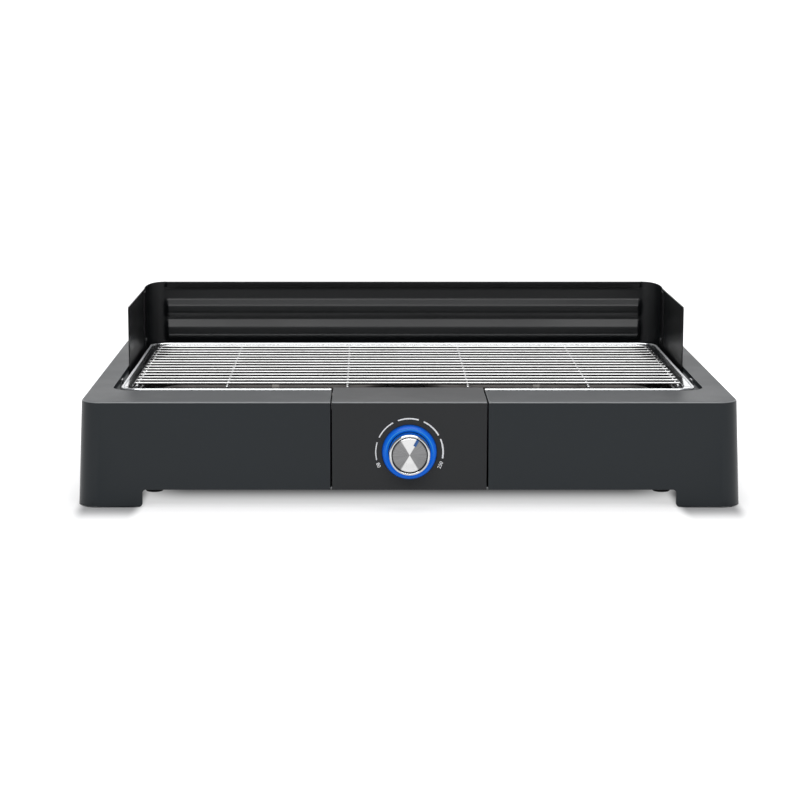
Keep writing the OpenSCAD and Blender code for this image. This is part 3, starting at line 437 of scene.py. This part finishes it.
# How far a point lies outside the body's leaning, rounded outline
def beyondSkin(p):
    out = grill["lean"] * (1 - p.z / mm / grill["deckHeight"])
    r = grill["cornerRadius"]
    dx = abs(p.x) / mm - (grill["deckWidth"] / 2 + out - r)
    dy = abs(p.y / mm - grill["frontY"] - grill["deckDepth"] / 2) - (grill["deckDepth"] / 2 + out - r)
    return (math.hypot(max(dx, 0), max(dy, 0)) + min(max(dx, dy), 0) - r) * mm


def onSkin(p):
    return abs(beyondSkin(p)) < meshing["skinBand"] or p.z > grill["deckHeight"] * mm - meshing["rimBand"]


def anywhere(p):
    return True


# Cuts one closed mesh out of another
def carved(build, cutter):
    meshes, holders = [], []
    for part in (build, cutter):
        mesh = bpy.data.meshes.new("carving")
        part.to_mesh(mesh)
        part.free()
        meshes.append(mesh)
        holders.append(bpy.data.objects.new("carving", mesh))
        bpy.context.scene.collection.objects.link(holders[-1])
    cut = holders[0].modifiers.new("cut", "BOOLEAN")
    cut.operation, cut.object, cut.solver = "DIFFERENCE", holders[1], "MANIFOLD"
    solved = holders[0].evaluated_get(bpy.context.evaluated_depsgraph_get())
    done = bmesh.new()
    result = bpy.data.meshes.new_from_object(solved)
    done.from_mesh(result)
    for holder in holders:
        bpy.data.objects.remove(holder)
    for mesh in [*meshes, result]:
        bpy.data.meshes.remove(mesh)
    return done


# A copy of a CAD node whose sharp edges are broken, as a mould or a press leaves them
def softened(name, node, body, finish, width, steps=3, corner=32.0, where=anywhere, cutter=None):
    build = bmesh.new()
    build.from_mesh(cadNodes[node].data)
    bmesh.ops.remove_doubles(build, verts=build.verts, dist=meshing["cadSame"])
    if cutter:
        build = carved(build, cutter)
    bmesh.ops.dissolve_degenerate(build, edges=build.edges, dist=meshing["cadTiny"])
    flat = math.radians(meshing["cadFlat"])
    bmesh.ops.dissolve_limit(build, angle_limit=flat, verts=build.verts, edges=build.edges)
    picked = build.edges.layers.float.new("bevel_weight_edge")
    for edge in build.edges:
        sharp = edge.is_manifold and edge.calc_face_angle(0) > math.radians(corner)
        if sharp and all(where(v.co) for v in edge.verts):
            edge[picked] = 1.0
    piece = finishPiece(name, build, body, finish, (node,))
    soft = piece.modifiers.new("softEdge", "BEVEL")
    soft.width, soft.segments, soft.limit_method = width * mm, steps, "WEIGHT"
    soft.use_clamp_overlap = False
    even = piece.modifiers.new("evenShade", "WEIGHTED_NORMAL")
    even.mode, even.weight, even.thresh, even.keep_sharp = "FACE_AREA", 100, 0.001, False
    return settle(piece)


# A closed skin over a row of loops
def skin(build, loops):
    rows = [[build.verts.new(p) for p in loop] for loop in loops]
    for a, b in zip(rows, rows[1:]):
        count = len(a)
        for i in range(count):
            j = (i + 1) % count
            build.faces.new((a[i], a[j], b[j], b[i]))
    build.faces.new(rows[0])
    build.faces.new(list(reversed(rows[-1])))


# Rounds each corner (a, b, radius) of a line
def filleted(points, steps=4, closed=False):
    done = []
    for i, (a, b, radius) in enumerate(points):
        if radius <= 0 or (not closed and i in (0, len(points) - 1)):
            done.append((a, b))
            continue
        here = Vector((a, b))
        back, ahead = Vector(points[i - 1][:2]) - here, Vector(points[(i + 1) % len(points)][:2]) - here
        angle = back.angle(ahead)
        reach = min(radius / max(math.tan(angle / 2), 0.05), 0.48 * back.length, 0.48 * ahead.length)
        start, end = here + back.normalized() * reach, here + ahead.normalized() * reach
        for k in range(steps + 1):
            t = k / steps
            p = start * (1 - t) ** 2 + here * (2 * t * (1 - t)) + end * t ** 2
            done.append((p.x, p.y))
    return done


# Turned about the dial's axis, from a closed profile of (radius, depth)
def turned(build, profile, steps=128):
    middle = at(0, 0, grill["dialHeight"])
    rows = []
    for k in range(steps):
        a = 2 * math.pi * k / steps
        ring = [middle + Vector((r * math.cos(a), y, r * math.sin(a))) * mm for r, y in profile]
        rows.append([build.verts.new(p) for p in ring])
    count = len(profile)
    for k in range(steps):
        a, b = rows[k], rows[(k + 1) % steps]
        for i in range(count):
            j = (i + 1) % count
            if profile[i][0] or profile[j][0]:  # no face lies along the axis itself
                build.faces.new((a[i], a[j], b[j], b[i]))
    bmesh.ops.remove_doubles(build, verts=build.verts, dist=meshing["same"])
    bmesh.ops.dissolve_degenerate(build, edges=build.edges, dist=meshing["same"])


# A tube along a path; its ends are rounded where endRound is given
def tube(build, path, radius, sides, endRound=0.0):
    loops = []
    side = None
    for i, p in enumerate(path):
        ahead = (path[min(i + 1, len(path) - 1)] - path[max(i - 1, 0)]).normalized()
        if side is None:
            side = ahead.orthogonal().normalized()
        side = (side - ahead * side.dot(ahead)).normalized()
        up = ahead.cross(side)
        turns = [2 * math.pi * k / sides for k in range(sides)]
        loops.append([p + (side * math.cos(a) + up * math.sin(a)) * radius for a in turns])
    if endRound:
        for first, last in ((True, False), (False, True)):
            loop = loops[0] if first else loops[-1]
            centre = sum(loop, Vector()) / sides
            axis = (path[0] - path[1] if first else path[-1] - path[-2]).normalized()
            rings = []
            for k in (1, 2, 3):
                a = math.radians(30 * k)
                share = 1 - endRound * (1 - math.cos(a)) / radius
                rings.append([centre + (p - centre) * share + axis * (endRound * math.sin(a)) for p in loop])
            loops = list(reversed(rings)) + loops if first else loops + rings
    skin(build, loops)


def straightRod(build, start, end, radius):
    soft = (end - start).normalized() * radius * grate["endSoft"]
    tube(build, [start + soft, end - soft], radius, grate["sides"], soft.length)


print("mesh helpers are ready")


# Moulded body
# The body's lighter line along the deck's rounded top edge is a painted highlight
bodyLook = {"colour": (0.0186, 0.0226, 0.0258), "second": (0.0204, 0.0246, 0.0280), "rough": (0.36, 0.42),
            "shine": 0.24, "grainScale": 2300.0, "grainDepth": 0.00003, "grainStrength": 0.35, "hazeScale": 9.0,
            "rimHighlight": {"colour": (0.20, 0.207, 0.212), "side": (0.25, 0.5), "top": (0.88, 0.97)}}
moulded = makeFinish("anthracitePlastic", bodyLook)
legs = {"wall": 3.0, "low": -4.0, "top": 14.9, "cornerSteps": 10}


# The room inside the walls below the base plate, which leaves each leg as a bent wall
def legRoom():
    build = bmesh.new()
    loops = []
    for z in (legs["low"], legs["top"]):
        out = grill["lean"] * (1 - z / grill["deckHeight"]) - legs["wall"]
        r = grill["cornerRadius"] - legs["wall"]
        x, y0, y1 = grill["deckWidth"] / 2 + out - r, -out + r, grill["deckDepth"] + out - r
        loop = []
        for cx, cy, start in ((x, y0, -90), (x, y1, 0), (-x, y1, 90), (-x, y0, 180)):
            for k in range(legs["cornerSteps"] + 1):
                a = math.radians(start + 90 * k / legs["cornerSteps"])
                loop.append(at(cx + r * math.cos(a), cy + r * math.sin(a), z))
        loops.append(loop)
    skin(build, loops)
    bmesh.ops.recalc_face_normals(build, faces=build.faces)
    return build


bodyShell = softened("bodyShell", "housing_shell", "housing", moulded, 0.45, where=onSkin,
                     cutter=legRoom())
print("body shell:", len(bodyShell.data.polygons), "faces")

# the control unit is moulded from a warmer batch of the same plastic
unitLook = {**bodyLook, "colour": (0.0210, 0.0222, 0.0236), "second": (0.0228, 0.0240, 0.0255)}
unitPlastic = makeFinish("unitPlastic", unitLook)
controlUnit = softened("controlUnit", "control_panel", "heating_unit", unitPlastic, 0.4,
                       where=onSkin)
print("control unit:", len(controlUnit.data.polygons), "faces")

rubber = makeFinish("footRubber", {"colour": (0.012, 0.012, 0.013), "second": (0.018, 0.018, 0.019),
                                   "rough": (0.7, 0.85), "shine": 0.3, "grainScale": 1800.0, "grainDepth": 0.00005})
softened("rubberFeet", "rubber_feet", "housing", rubber, 0.4)


# Drip tray
tray = {"halfX": 240.0, "y0": 63.5, "y1": 338.5, "bead": 1.2, "beadZ": 85.0, "sheet": 0.8, "cornerSteps": 14,
        "radius": 17, "rollFrom": -19.5, "rollSweep": -321, "rollSteps": 14,
        # inset, height, extra inset at the ends, corner radius and rounding, from the flange down to the bowl
        "profile": [(2.33, 85.4, 0, 14.7, 0), (8.7, 85.4, 0, 11.2, 0.9), (8.9, 82.1, 0, 11.2, 0.7),
                    (15.5, 82.1, 9.2, 10.0, 1.6), (19.9, 39.1, 9.2, 9.0, 0), (20.5, 32.1, 9.2, 8.6, 7.0),
                    (120.0, 31.7, 9.2, 2.0, 0)],
        "bowlEnd": (34.0, 32.05), "bowlFrom": 21, "bowlRadius": 5.0,
        "notch": ((-64, 50, 62.25), (64, 96.2, 95))}  # room for the control unit's tail
# The tray is painted darker below its flange: painted shade in the bowl
polished = makeFinish("polishedSteel", {"colour": (0.86, 0.87, 0.88), "second": (0.80, 0.81, 0.825), "metal": 1.0,
                                        "rough": (0.10, 0.18), "hazeScale": 14.0, "brushAlong": (1, 12, 12),
                                        "brushScale": 120.0, "brushDepth": 0.000003, "brushStrength": 0.2,
                                        "streak": 0.2, "streakColour": (0.76, 0.77, 0.785),
                                        "deep": {"from": 81.6, "to": 83.6, "colour": (0.20, 0.196, 0.192)},
                                        "sideBead": {"x": (0.233, 0.236), "z": (0.0853, 0.0857), "rough": 0.5}})


def trayRing(inset, z, extra, radius):
    halfX, y0, y1 = tray["halfX"] - inset, tray["y0"] + inset + extra, tray["y1"] - inset - extra
    radius = max(radius, 0.6)
    ring = []
    corners = [(halfX - radius, y0 + radius, -90), (halfX - radius, y1 - radius, 0),
               (radius - halfX, y1 - radius, 90), (radius - halfX, y0 + radius, 180)]
    for cx, cy, start in corners:
        for k in range(tray["cornerSteps"] + 1):
            a = math.radians(start + 90 * k / tray["cornerSteps"])
            ring.append(at(cx + radius * math.cos(a), cy + radius * math.sin(a), z))
    return ring


def trayValue(inset, key):
    for a, b in zip(tray["profile"], tray["profile"][1:]):
        if inset <= b[0]:
            return a[key] + (b[key] - a[key]) * max(0, (inset - a[0]) / (b[0] - a[0]))


def makeTray():
    bead, beadZ = tray["bead"], tray["beadZ"]
    line = filleted([(s[0], s[1], s[4]) for s in tray["profile"]], 5)[:-1] + [tray["bowlEnd"]]
    upper = []
    for i, z in line:
        radius = trayValue(i, 3) if i < tray["bowlFrom"] else tray["bowlRadius"]
        upper.append((i, z, trayValue(i, 2), radius))
    lower = []
    for k, (i, z, extra, radius) in enumerate(upper):
        a, b = upper[max(k - 1, 0)], upper[min(k + 1, len(upper) - 1)]
        along = Vector((b[0] - a[0], b[1] - a[1])).normalized()
        side, down = along.y * tray["sheet"], along.x * tray["sheet"]
        lower.append((i + side, z - down, extra, radius - side))
    roll = []
    for k in range(tray["rollSteps"] + 1):
        a = math.radians(tray["rollFrom"] + tray["rollSweep"] * k / tray["rollSteps"])
        inset = bead + bead * math.cos(a)
        roll.append((inset, beadZ + bead * math.sin(a), 0, tray["radius"] - inset))
    rings = [trayRing(*r) for r in list(reversed(lower)) + roll + upper]
    build = bmesh.new()
    skin(build, rings)
    piece = finishPiece("dripTray", build, "tray", polished, ("drip_tray",), crease=50)
    cut = bmesh.new()
    bmesh.ops.create_cube(cut, size=1)
    low, high = [at(*corner) for corner in tray["notch"]]
    shape = Matrix.Translation((low + high) / 2) @ Matrix.Diagonal((*(high - low), 1))
    bmesh.ops.transform(cut, matrix=shape, verts=cut.verts)
    mesh = bpy.data.meshes.new("trayNotch")
    cut.to_mesh(mesh)
    cut.free()
    cutter = bpy.data.objects.new("trayNotch", mesh)
    bpy.context.scene.collection.objects.link(cutter)
    notch = piece.modifiers.new("notch", "BOOLEAN")
    notch.operation, notch.object, notch.solver = "DIFFERENCE", cutter, "MANIFOLD"
    settle(piece)
    bpy.data.objects.remove(cutter)
    return piece


dripTray = makeTray()
print("drip tray:", len(dripTray.data.polygons), "faces")


# Wire grate
grate = {"bars": 15, "pitch": 15.4, "barRadius": 1.2, "barZ": 86.2, "halfX": 230.1,
         "crossX": (-152.1, -50.7, 50.7, 152.1), "crossRadius": 1.4, "crossZ": 83.8, "crossEnds": (83.7, 318.3),
         "endX": 227.9, "endEnds": (88.2, 313.8), "weld": (1.5, 2.3, 1.15), "weldRise": 0.1,
         "endSoft": 0.45, "sides": 16}
# The bars are painted darker where they face down: painted shade
grateSteel = makeFinish("grateSteel", {"colour": (0.50, 0.50, 0.50), "second": (0.44, 0.44, 0.435), "metal": 1.0,
                                       "rough": (0.08, 0.13), "hazeScale": 30.0,
                                       "undersideShade": {"from": 0.0, "to": 0.5, "colour": (0.03, 0.029, 0.028)}})
weldSteel = makeFinish("weldSteel", {"colour": (0.88, 0.88, 0.88), "second": (0.78, 0.78, 0.775), "metal": 1.0,
                                     "rough": (0.22, 0.34), "hazeScale": 90.0})


def makeGrate():
    g = grate
    first = grill["trayMid"] - (g["bars"] - 1) / 2 * g["pitch"]
    rows = [first + k * g["pitch"] for k in range(g["bars"])]
    build = bmesh.new()
    for y in rows:
        straightRod(build, at(-g["halfX"], y, g["barZ"]), at(g["halfX"], y, g["barZ"]), g["barRadius"] * mm)
    finishPiece("grateBars", build, "grate", grateSteel, ("grate_bars",))
    for name, node, places, (front, back) in (
            ("grateCrossWires", "grate_cross_wires", g["crossX"], g["crossEnds"]),
            ("grateEndWires", "grate_end_wires", (-g["endX"], g["endX"]), g["endEnds"])):
        build = bmesh.new()
        for x in places:
            straightRod(build, at(x, front, g["crossZ"]), at(x, back, g["crossZ"]), g["crossRadius"] * mm)
        finishPiece(name, build, "grate", grateSteel, (node,))
    # the small fillets that spot welding squeezes out where two wires cross
    build = bmesh.new()
    seam = g["barZ"] - g["barRadius"] + g["weldRise"]
    for y in rows:
        for x in [*g["crossX"], -g["endX"], g["endX"]]:
            blob = bmesh.ops.create_uvsphere(build, u_segments=12, v_segments=6, radius=1)["verts"]
            shape = Matrix.Translation(at(x, y, seam)) @ Matrix.Diagonal((*[v * mm for v in g["weld"]], 1))
            bmesh.ops.transform(build, matrix=shape, verts=blob)
    finishPiece("grateWelds", build, "grate", weldSteel)


makeGrate()
print("grate is built")


# Heating element
element = {"radius": 3.25, "z": 68.0, "coldX": 20.0, "coldY": 48.0, "firstY": 135.0, "pitch": 44.0, "reach": 190.0,
           "bend": 14.0}
sheath = makeFinish("elementSheath", {"colour": (0.05, 0.045, 0.042), "second": (0.075, 0.07, 0.066), "metal": 0.7,
                                      "rough": (0.42, 0.6), "hazeScale": 40.0, "grainScale": 1500.0,
                                      "grainDepth": 0.00002})


def arcPoints(cx, cy, radius, start, sweep, steps=14):
    return [(cx + radius * math.cos(math.radians(start + sweep * k / steps)),
             cy + radius * math.sin(math.radians(start + sweep * k / steps))) for k in range(steps + 1)]


def makeElement():
    e, u = element, element["pitch"] / 2
    y = e["firstY"]
    half = [(e["coldX"], e["coldY"])] + arcPoints(e["coldX"] + e["bend"], y - e["bend"], e["bend"], 180, -90)
    half += arcPoints(e["reach"], y + u, u, -90, 180)
    half += arcPoints(e["coldX"] + u, y + 3 * u, u, 270, -180)
    half += arcPoints(e["reach"], y + 5 * u, u, -90, 180)
    path = half + [(-x, v) for x, v in reversed(half)]
    build = bmesh.new()
    tube(build, [at(x, v, e["z"]) for x, v in path], e["radius"] * mm, 20)
    finishPiece("heatingElement", build, "heating_unit", sheath, ("heating_element",))


makeElement()
print("heating element is built")


# Windshield
shield = {"halfX": 245.2, "backY": 345.7, "bend": 17.2, "sheet": 1.0, "foot": 71.3, "backTop": 144.0,
          "sideTop": 139.4, "wingTop": 137.4, "wingY": 312.5, "hem": 5.3, "hemLean": 0.45, "fade": 4.5,
          "ribs": [(60, 0), (86.4, 0), (94.0, 4.3), (100.6, 4.3), (108.6, 0.3), (109.6, 0.3), (114.9, 4.3),
                   (121.2, 4.3), (127.6, 0), (150, 0)], "ribSoft": (-1.2, -0.6, 0, 0.6, 1.2), "ribTop": 129.0,
          "ribRows": 90, "bendRows": 14, "bendRise": 0.85, "backX": [190, 140, 90, 45]}
satin = makeFinish("blackSheet", {"colour": (0.0050, 0.0056, 0.0064), "second": (0.0062, 0.0069, 0.0078),
                                  "rough": (0.32, 0.38), "shine": 0.33, "grainScale": 3000.0,
                                  "grainDepth": 0.000012, "grainStrength": 0.3, "hazeScale": 8.0,
                                  "wearColour": (0.02, 0.02, 0.021), "wear": 0.2})


# The ribs' depth at a height, from straight stretches that are smoothed
def ribDepth(z):
    total = 0
    for shift in shield["ribSoft"]:
        v = z + shift
        for (a, da), (b, db) in zip(shield["ribs"], shield["ribs"][1:]):
            if v <= b:
                total += da + (db - da) * (v - a) / (b - a)
                break
    return total / len(shield["ribSoft"])


def smooth(t):
    t = max(0.0, min(1.0, t))
    return t * t * (3 - 2 * t)


# Places along the sheet's middle line, each with its height: left side, bend, back, bend, right side
def shieldStations():
    s, half = shield, shield["halfX"] - shield["bend"]
    mid = s["sheet"] / 2
    bendY = s["backY"] - s["bend"]
    inside, outside = -s["halfX"] + s["sheet"] + mid, -s["halfX"] + mid
    left = [(inside, s["wingY"] + k * (bendY - 2.6 - s["wingY"]) / 3, s["wingTop"]) for k in range(4)]
    left += [(inside - 0.5, bendY - 1.3, s["wingTop"]), (outside, bendY - 0.1, s["sideTop"])]
    turn = s["bend"] - mid
    for k in range(1, s["bendRows"] + 1):
        a = math.radians(180 - 90 * k / s["bendRows"])
        rise = math.sin(a) ** s["bendRise"] * (s["backTop"] - 0.1 - s["sideTop"])
        left.append((-half + turn * math.cos(a), bendY + turn * math.sin(a), s["sideTop"] + rise))
    edge = [half - 0.9] + [half - 1.2 - s["fade"] * k / 8 for k in range(9)] + s["backX"]
    left += [(-x, s["backY"] - mid, s["backTop"]) for x in edge]
    return left + [(0, s["backY"] - mid, s["backTop"])] + [(-x, y, top) for x, y, top in reversed(left)]


def makeShield():
    s, mid = shield, shield["sheet"] / 2
    half = s["halfX"] - s["bend"]
    stations = shieldStations()
    loops = []
    for i, (x, y, top) in enumerate(stations):
        a, b = stations[max(i - 1, 0)], stations[min(i + 1, len(stations) - 1)]
        along = Vector((b[0] - a[0], b[1] - a[1], 0)).normalized()
        out = Vector((-along.y, along.x, 0))
        fade = smooth((half - abs(x)) / s["fade"]) if y > s["backY"] - 1 else 0
        hem = smooth((half - 0.5 - abs(x)) / 2.5) * s["sheet"] if y > s["backY"] - 1 else 0
        low = s["foot"] + mid
        heights = [low + k * (s["ribTop"] - low) / s["ribRows"] for k in range(s["ribRows"] + 1)]
        lowHem = top - s["hem"]
        heights += [lowHem - 3, lowHem - 0.3, lowHem - 0.1, lowHem + 0.1, lowHem + 0.3, top - 1.2, top - mid]

        def across(offset, z):
            return at(x + out.x * offset, y + out.y * offset, z)
        inner, outer = [], []
        for z in heights:
            d = ribDepth(z) * fade
            lean = s["hemLean"] * max(0.0, min(1.0, (z - lowHem) / (s["hem"] - 1.2)))
            h = hem * (smooth((z - lowHem + 0.3) / 0.6) + lean)
            inner.append(across(-mid - d - h, z))
            outer.append(across(mid - d, z))
        cap = []
        wide = s["sheet"] + hem * (1 + s["hemLean"])
        for k in range(1, 6):
            a2 = math.pi * k / 6
            cap.append(across(mid - wide / 2 - wide / 2 * math.cos(a2), top - mid + mid * math.sin(a2)))
        toe = []
        for k in range(1, 4):
            a2 = math.pi * k / 4
            toe.append(across(mid * math.cos(a2), low - mid * math.sin(a2)))
        loops.append(inner + cap + list(reversed(outer)) + toe)
    build = bmesh.new()
    skin(build, loops)
    finishPiece("windshieldBack", build, "windshield", satin, ("windshield_back",),
                crease=60)
    for name, node in (("windshieldLeft", "windshield_left"), ("windshieldRight", "windshield_right")):
        softened(name, node, "windshield", satin, 0.4)


makeShield()
print("windshield is built")


# Dial
dial = {"ringOuter": 21.8, "ringInner": 17.1, "knobRadius": 16.5, "knobFace": -16.4, "capRadius": 14.1}
# The knob body is painted dark inside the cap's seat: painted shade in the gap round the cap
knobChrome = makeFinish("knobChrome", {"colour": (0.60, 0.61, 0.62), "second": (0.54, 0.55, 0.56), "metal": 1.0,
                                       "rough": (0.12, 0.2), "hazeScale": 60.0,
                                       "grooveShade": {"from": 14.5, "to": 14.7, "colour": (0.02, 0.02, 0.021)}})
# The light wedges on the spun cap are a painted highlight
knobAlu = makeFinish("knobAlu", {"colour": (0.17, 0.17, 0.173), "second": (0.195, 0.195, 0.198), "metal": 1.0,
                                 "rough": (0.26, 0.32), "spun": 0.5, "hazeScale": 50.0,
                                 "paintedWedges": {"light": (0.62, 0.62, 0.62), "edge": 0.5, "soft": 0.07, "rays": 5.0,
                                            "uneven": 0.12, "fine": 0.12}})
pointerBlue = makeFinish("pointerBlue", {"colour": (0.016, 0.085, 0.28), "second": (0.02, 0.10, 0.32),
                                         "rough": (0.3, 0.4), "glow": 0.06, "glowColour": (0.03, 0.16, 0.6)})
# The ring's glow carries painted shade at its outer edge and a painted highlight line near its crest
ringLight = makeFinish("ringLight", {"colour": (0.002, 0.035, 0.2), "second": (0.003, 0.045, 0.25),
                                     "rough": (0.2, 0.3), "shine": 0.2, "glow": 0.5,
                                     "glowColour": (0.002, 0.17, 0.92), "hazeScale": 60.0,
                                     "glowRing": {"edge": 21.5, "soft": 0.9, "paintedEdgeShade": (0.001, 0.05, 0.30),
                                                  "line": (18.3, 19.0, 19.8), "highlightHeights": (-8.0, 12.0),
                                                  "bright": (0.09, 0.55, 1.0)}})
printWhite = makeFinish("printWhite", {"colour": (0.95, 0.955, 0.96), "second": (0.92, 0.925, 0.93),
                                       "rough": (0.5, 0.6)})


def makeDial():
    axis = at(0, 0, grill["dialHeight"])
    d, face = dial, dial["knobFace"]
    build = bmesh.new()
    r, i = d["ringOuter"], d["ringInner"]
    # corners of each profile as (radius, depth, rounding)
    ring = filleted([(i, -3.6, 0.2), (i + 1, -4.4, 0.3), (i + 1.6, -4.6, 0.3), (i + 2, -5.6, 0.4),
                     (r - 2.2, -5.9, 0.6), (r - 1, -5.2, 0.8), (r - 0.2, -3.9, 0.6), (r, -2.4, 0.6),
                     (r, 2.6, 0.2), (r + 2, 2.6, 0.2), (r + 2, 3.8, 0.2), (i, 3.8, 0.2)], closed=True)
    turned(build, ring)
    finishPiece("lightRing", build, "heating_unit", ringLight, ("light_ring",), 40,
                axis)
    build = bmesh.new()
    seat, r = d["capRadius"] + 0.45, d["knobRadius"]
    knob = filleted([(3.05, -11.2, 0), (0, -11.2, 0), (0, face + 2.2, 0), (seat, face + 2.2, 0.1),
                     (seat, face + 0.45, 0.2), (seat + 0.6, face, 0.3), (r - 0.9, face, 0.5), (r, face + 0.9, 0.6),
                     (r, -1.2, 0.3), (r - 1.6, -1.2, 0.3), (r - 1.6, face + 4.6, 0.6), (5.4, face + 4.6, 0.4),
                     (5.4, -3, 0.3), (3.05, -3, 0)])
    turned(build, knob)
    finishPiece("knobBody", build, "knob", knobChrome, ("knob_body",), 40, axis)
    build = bmesh.new()
    c = d["capRadius"] - 0.25
    cap = filleted([(0, face + 2.2, 0), (0, face + 0.95, 0), (c * 0.5, face + 0.8, 3), (c - 0.9, face + 0.35, 0.6),
                    (c, face + 0.75, 0.5), (c, face + 2.2, 0)], 6)
    turned(build, cap)
    finishPiece("knobCap", build, "knob", knobAlu, ("knob_cap",), 40, axis)
    softened("knobPointer", "knob_pointer", "knob", pointerBlue, 0.12)


makeDial()
print("dial is built")


# Printed scale round the dial
scale = {"radius": 27.1, "arcs": [(-104, -73), (-64, -29), (-20, 16), (25, 60), (67, 101)],
         "thin": 0.8, "wide": 1.3, "height": 0.06, "sunk": 0.05, "steps": 12,
         "numbers": [(-113, "80"), (113, "250")], "numberSize": 4.0, "numberBold": 0.04, "numberThick": 0.05,
         "numberLift": 0.02}


def onFace(radius, angle, lift):
    x, z = radius * math.sin(math.radians(angle)), grill["dialHeight"] + radius * math.cos(math.radians(angle))
    return at(x, -grill["lean"] * (1 - z / grill["deckHeight"]) - lift, z)


def makeScale():
    build = bmesh.new()
    s = scale
    first, last = s["arcs"][0][0], s["arcs"][-1][1]
    for start, end in s["arcs"]:
        loops = []
        for k in range(s["steps"] + 1):
            a = start + (end - start) * k / s["steps"]
            width = s["thin"] + (s["wide"] - s["thin"]) * (a - first) / (last - first)
            r0, r1 = s["radius"] - width / 2, s["radius"] + width / 2
            loops.append([onFace(r0, a, -s["sunk"]), onFace(r1, a, -s["sunk"]),
                          onFace(r1, a, s["height"]), onFace(r0, a, s["height"])])
        skin(build, loops)
    finishPiece("scaleArcs", build, "heating_unit", printWhite, crease=30)
    slope = math.atan(grill["lean"] / grill["deckHeight"])
    for angle, word in s["numbers"]:
        text = bpy.data.curves.new("scaleNumber", "FONT")
        text.body, text.size = word, s["numberSize"] * mm
        text.offset, text.extrude = s["numberBold"] * mm, s["numberThick"] * mm
        text.align_x, text.align_y = "CENTER", "CENTER"
        holder = bpy.data.objects.new("scaleNumber", text)
        bpy.context.scene.collection.objects.link(holder)
        mesh = bpy.data.meshes.new_from_object(holder.evaluated_get(bpy.context.evaluated_depsgraph_get()))
        bpy.data.objects.remove(holder)
        build = bmesh.new()
        build.from_mesh(mesh)
        lean = math.radians(180 - angle if angle > 0 else -180 - angle)
        turn = Matrix.Rotation(math.radians(90) - slope, 4, "X") @ Matrix.Rotation(lean, 4, "Z")
        shape = Matrix.Translation(onFace(s["radius"], angle, s["numberLift"])) @ turn
        bmesh.ops.transform(build, matrix=shape, verts=build.verts)
        finishPiece("scaleNumber" + word, build, "heating_unit", printWhite, crease=30)


makeScale()
print("scale is printed")


# The CAD nodes that stay, each with its finish
keptNodes = {
    "darkSheet": ({"colour": (0.03, 0.031, 0.033), "second": (0.038, 0.039, 0.042), "metal": 0.6, "rough": (0.4, 0.55),
                   "grainScale": 1600.0, "grainDepth": 0.00002}, ["inner_frame"]),
    "baseSheet": ({"colour": (0.42, 0.43, 0.44), "second": (0.34, 0.35, 0.36), "metal": 0.9, "rough": (0.32, 0.5),
                   "patchFrom": "grain", "grainScale": 2200.0, "brushAlong": (1, 20, 20), "brushScale": 60.0,
                   "streakColour": (0.5, 0.51, 0.52)}, ["base_plate"]),
    "aluminised": ({"colour": (0.62, 0.63, 0.65), "second": (0.52, 0.53, 0.55), "metal": 1.0, "rough": (0.25, 0.42),
                    "patchFrom": "grain", "grainScale": 2600.0, "brushAlong": (1, 16, 16), "brushScale": 90.0},
                   ["heat_shield", "element_flange", "thermostat_bracket"]),
    "tintedSheet": ({"colour": (0.10, 0.095, 0.09), "second": (0.14, 0.13, 0.12), "metal": 0.9, "rough": (0.35, 0.5),
                     "patchFrom": "grain", "grainScale": 1800.0}, ["heat_barrier", "element_braces"]),
    "clipSteel": ({"colour": (0.72, 0.73, 0.74), "second": (0.62, 0.63, 0.64), "metal": 1.0, "rough": (0.18, 0.3)},
                  ["shield_clips"]),
    "boxPlastic": ({"colour": (0.020, 0.021, 0.023), "second": (0.024, 0.025, 0.027), "rough": (0.5, 0.62),
                    "grainScale": 2000.0, "grainDepth": 0.00003}, ["control_box", "gland_clamp", "safety_switch"]),
    "screwSteel": ({"colour": (0.50, 0.50, 0.51), "second": (0.38, 0.38, 0.39), "metal": 1.0, "rough": (0.28, 0.45),
                    "hazeScale": 200.0, "wearColour": (0.7, 0.7, 0.7)},
                   ["base_screws", "box_screws", "thermostat_screws", "clamp_screws", "thermostat_shaft",
                    "knob_clip"]),
    "rivetBlack": ({"colour": (0.03, 0.031, 0.033), "second": (0.045, 0.046, 0.048), "metal": 0.3, "rough": (0.3, 0.42),
                    "hazeScale": 300.0}, ["shield_rivets"]),
    "ceramic": ({"colour": (0.68, 0.65, 0.58), "second": (0.6, 0.57, 0.5), "rough": (0.4, 0.6), "grainScale": 1200.0,
                 "grainDepth": 0.00004}, ["element_terminals", "terminal_block"]),
    "thermostatMetal": ({"colour": (0.40, 0.36, 0.28), "second": (0.3, 0.27, 0.22), "metal": 0.9, "rough": (0.3, 0.5),
                         "hazeScale": 120.0}, ["thermostat"]),
    "boardGreen": ({"colour": (0.012, 0.11, 0.035), "second": (0.02, 0.14, 0.045), "rough": (0.3, 0.42), "coat": 0.3,
                    "hazeScale": 150.0}, ["led_board"]),
    "ledLens": ({"colour": (0.55, 0.62, 0.7), "second": (0.5, 0.58, 0.7), "rough": (0.15, 0.25), "glow": 1.2,
                 "glowColour": (0.05, 0.3, 1.0)}, ["leds"]),
    "plungerPlastic": ({"colour": (0.62, 0.59, 0.52), "second": (0.56, 0.53, 0.47), "rough": (0.4, 0.5),
                        "hazeScale": 200.0}, ["switch_plunger"]),
    "wireSkin": ({"colour": (0.35, 0.02, 0.015), "second": (0.42, 0.03, 0.02), "rough": (0.4, 0.55),
                  "hazeScale": 80.0}, ["wiring"]),
    "glandRubber": ({"colour": (0.012, 0.012, 0.013), "second": (0.02, 0.02, 0.021), "rough": (0.6, 0.8),
                     "grainScale": 1500.0, "grainDepth": 0.00004}, ["cord_gland"]),
}
for name, (look, nodes) in keptNodes.items():
    finish = makeFinish(name, look)
    for node in nodes:
        mesh = cadNodes[node].data
        mesh.materials.clear()
        mesh.materials.append(finish)
print("kept nodes have their finishes")
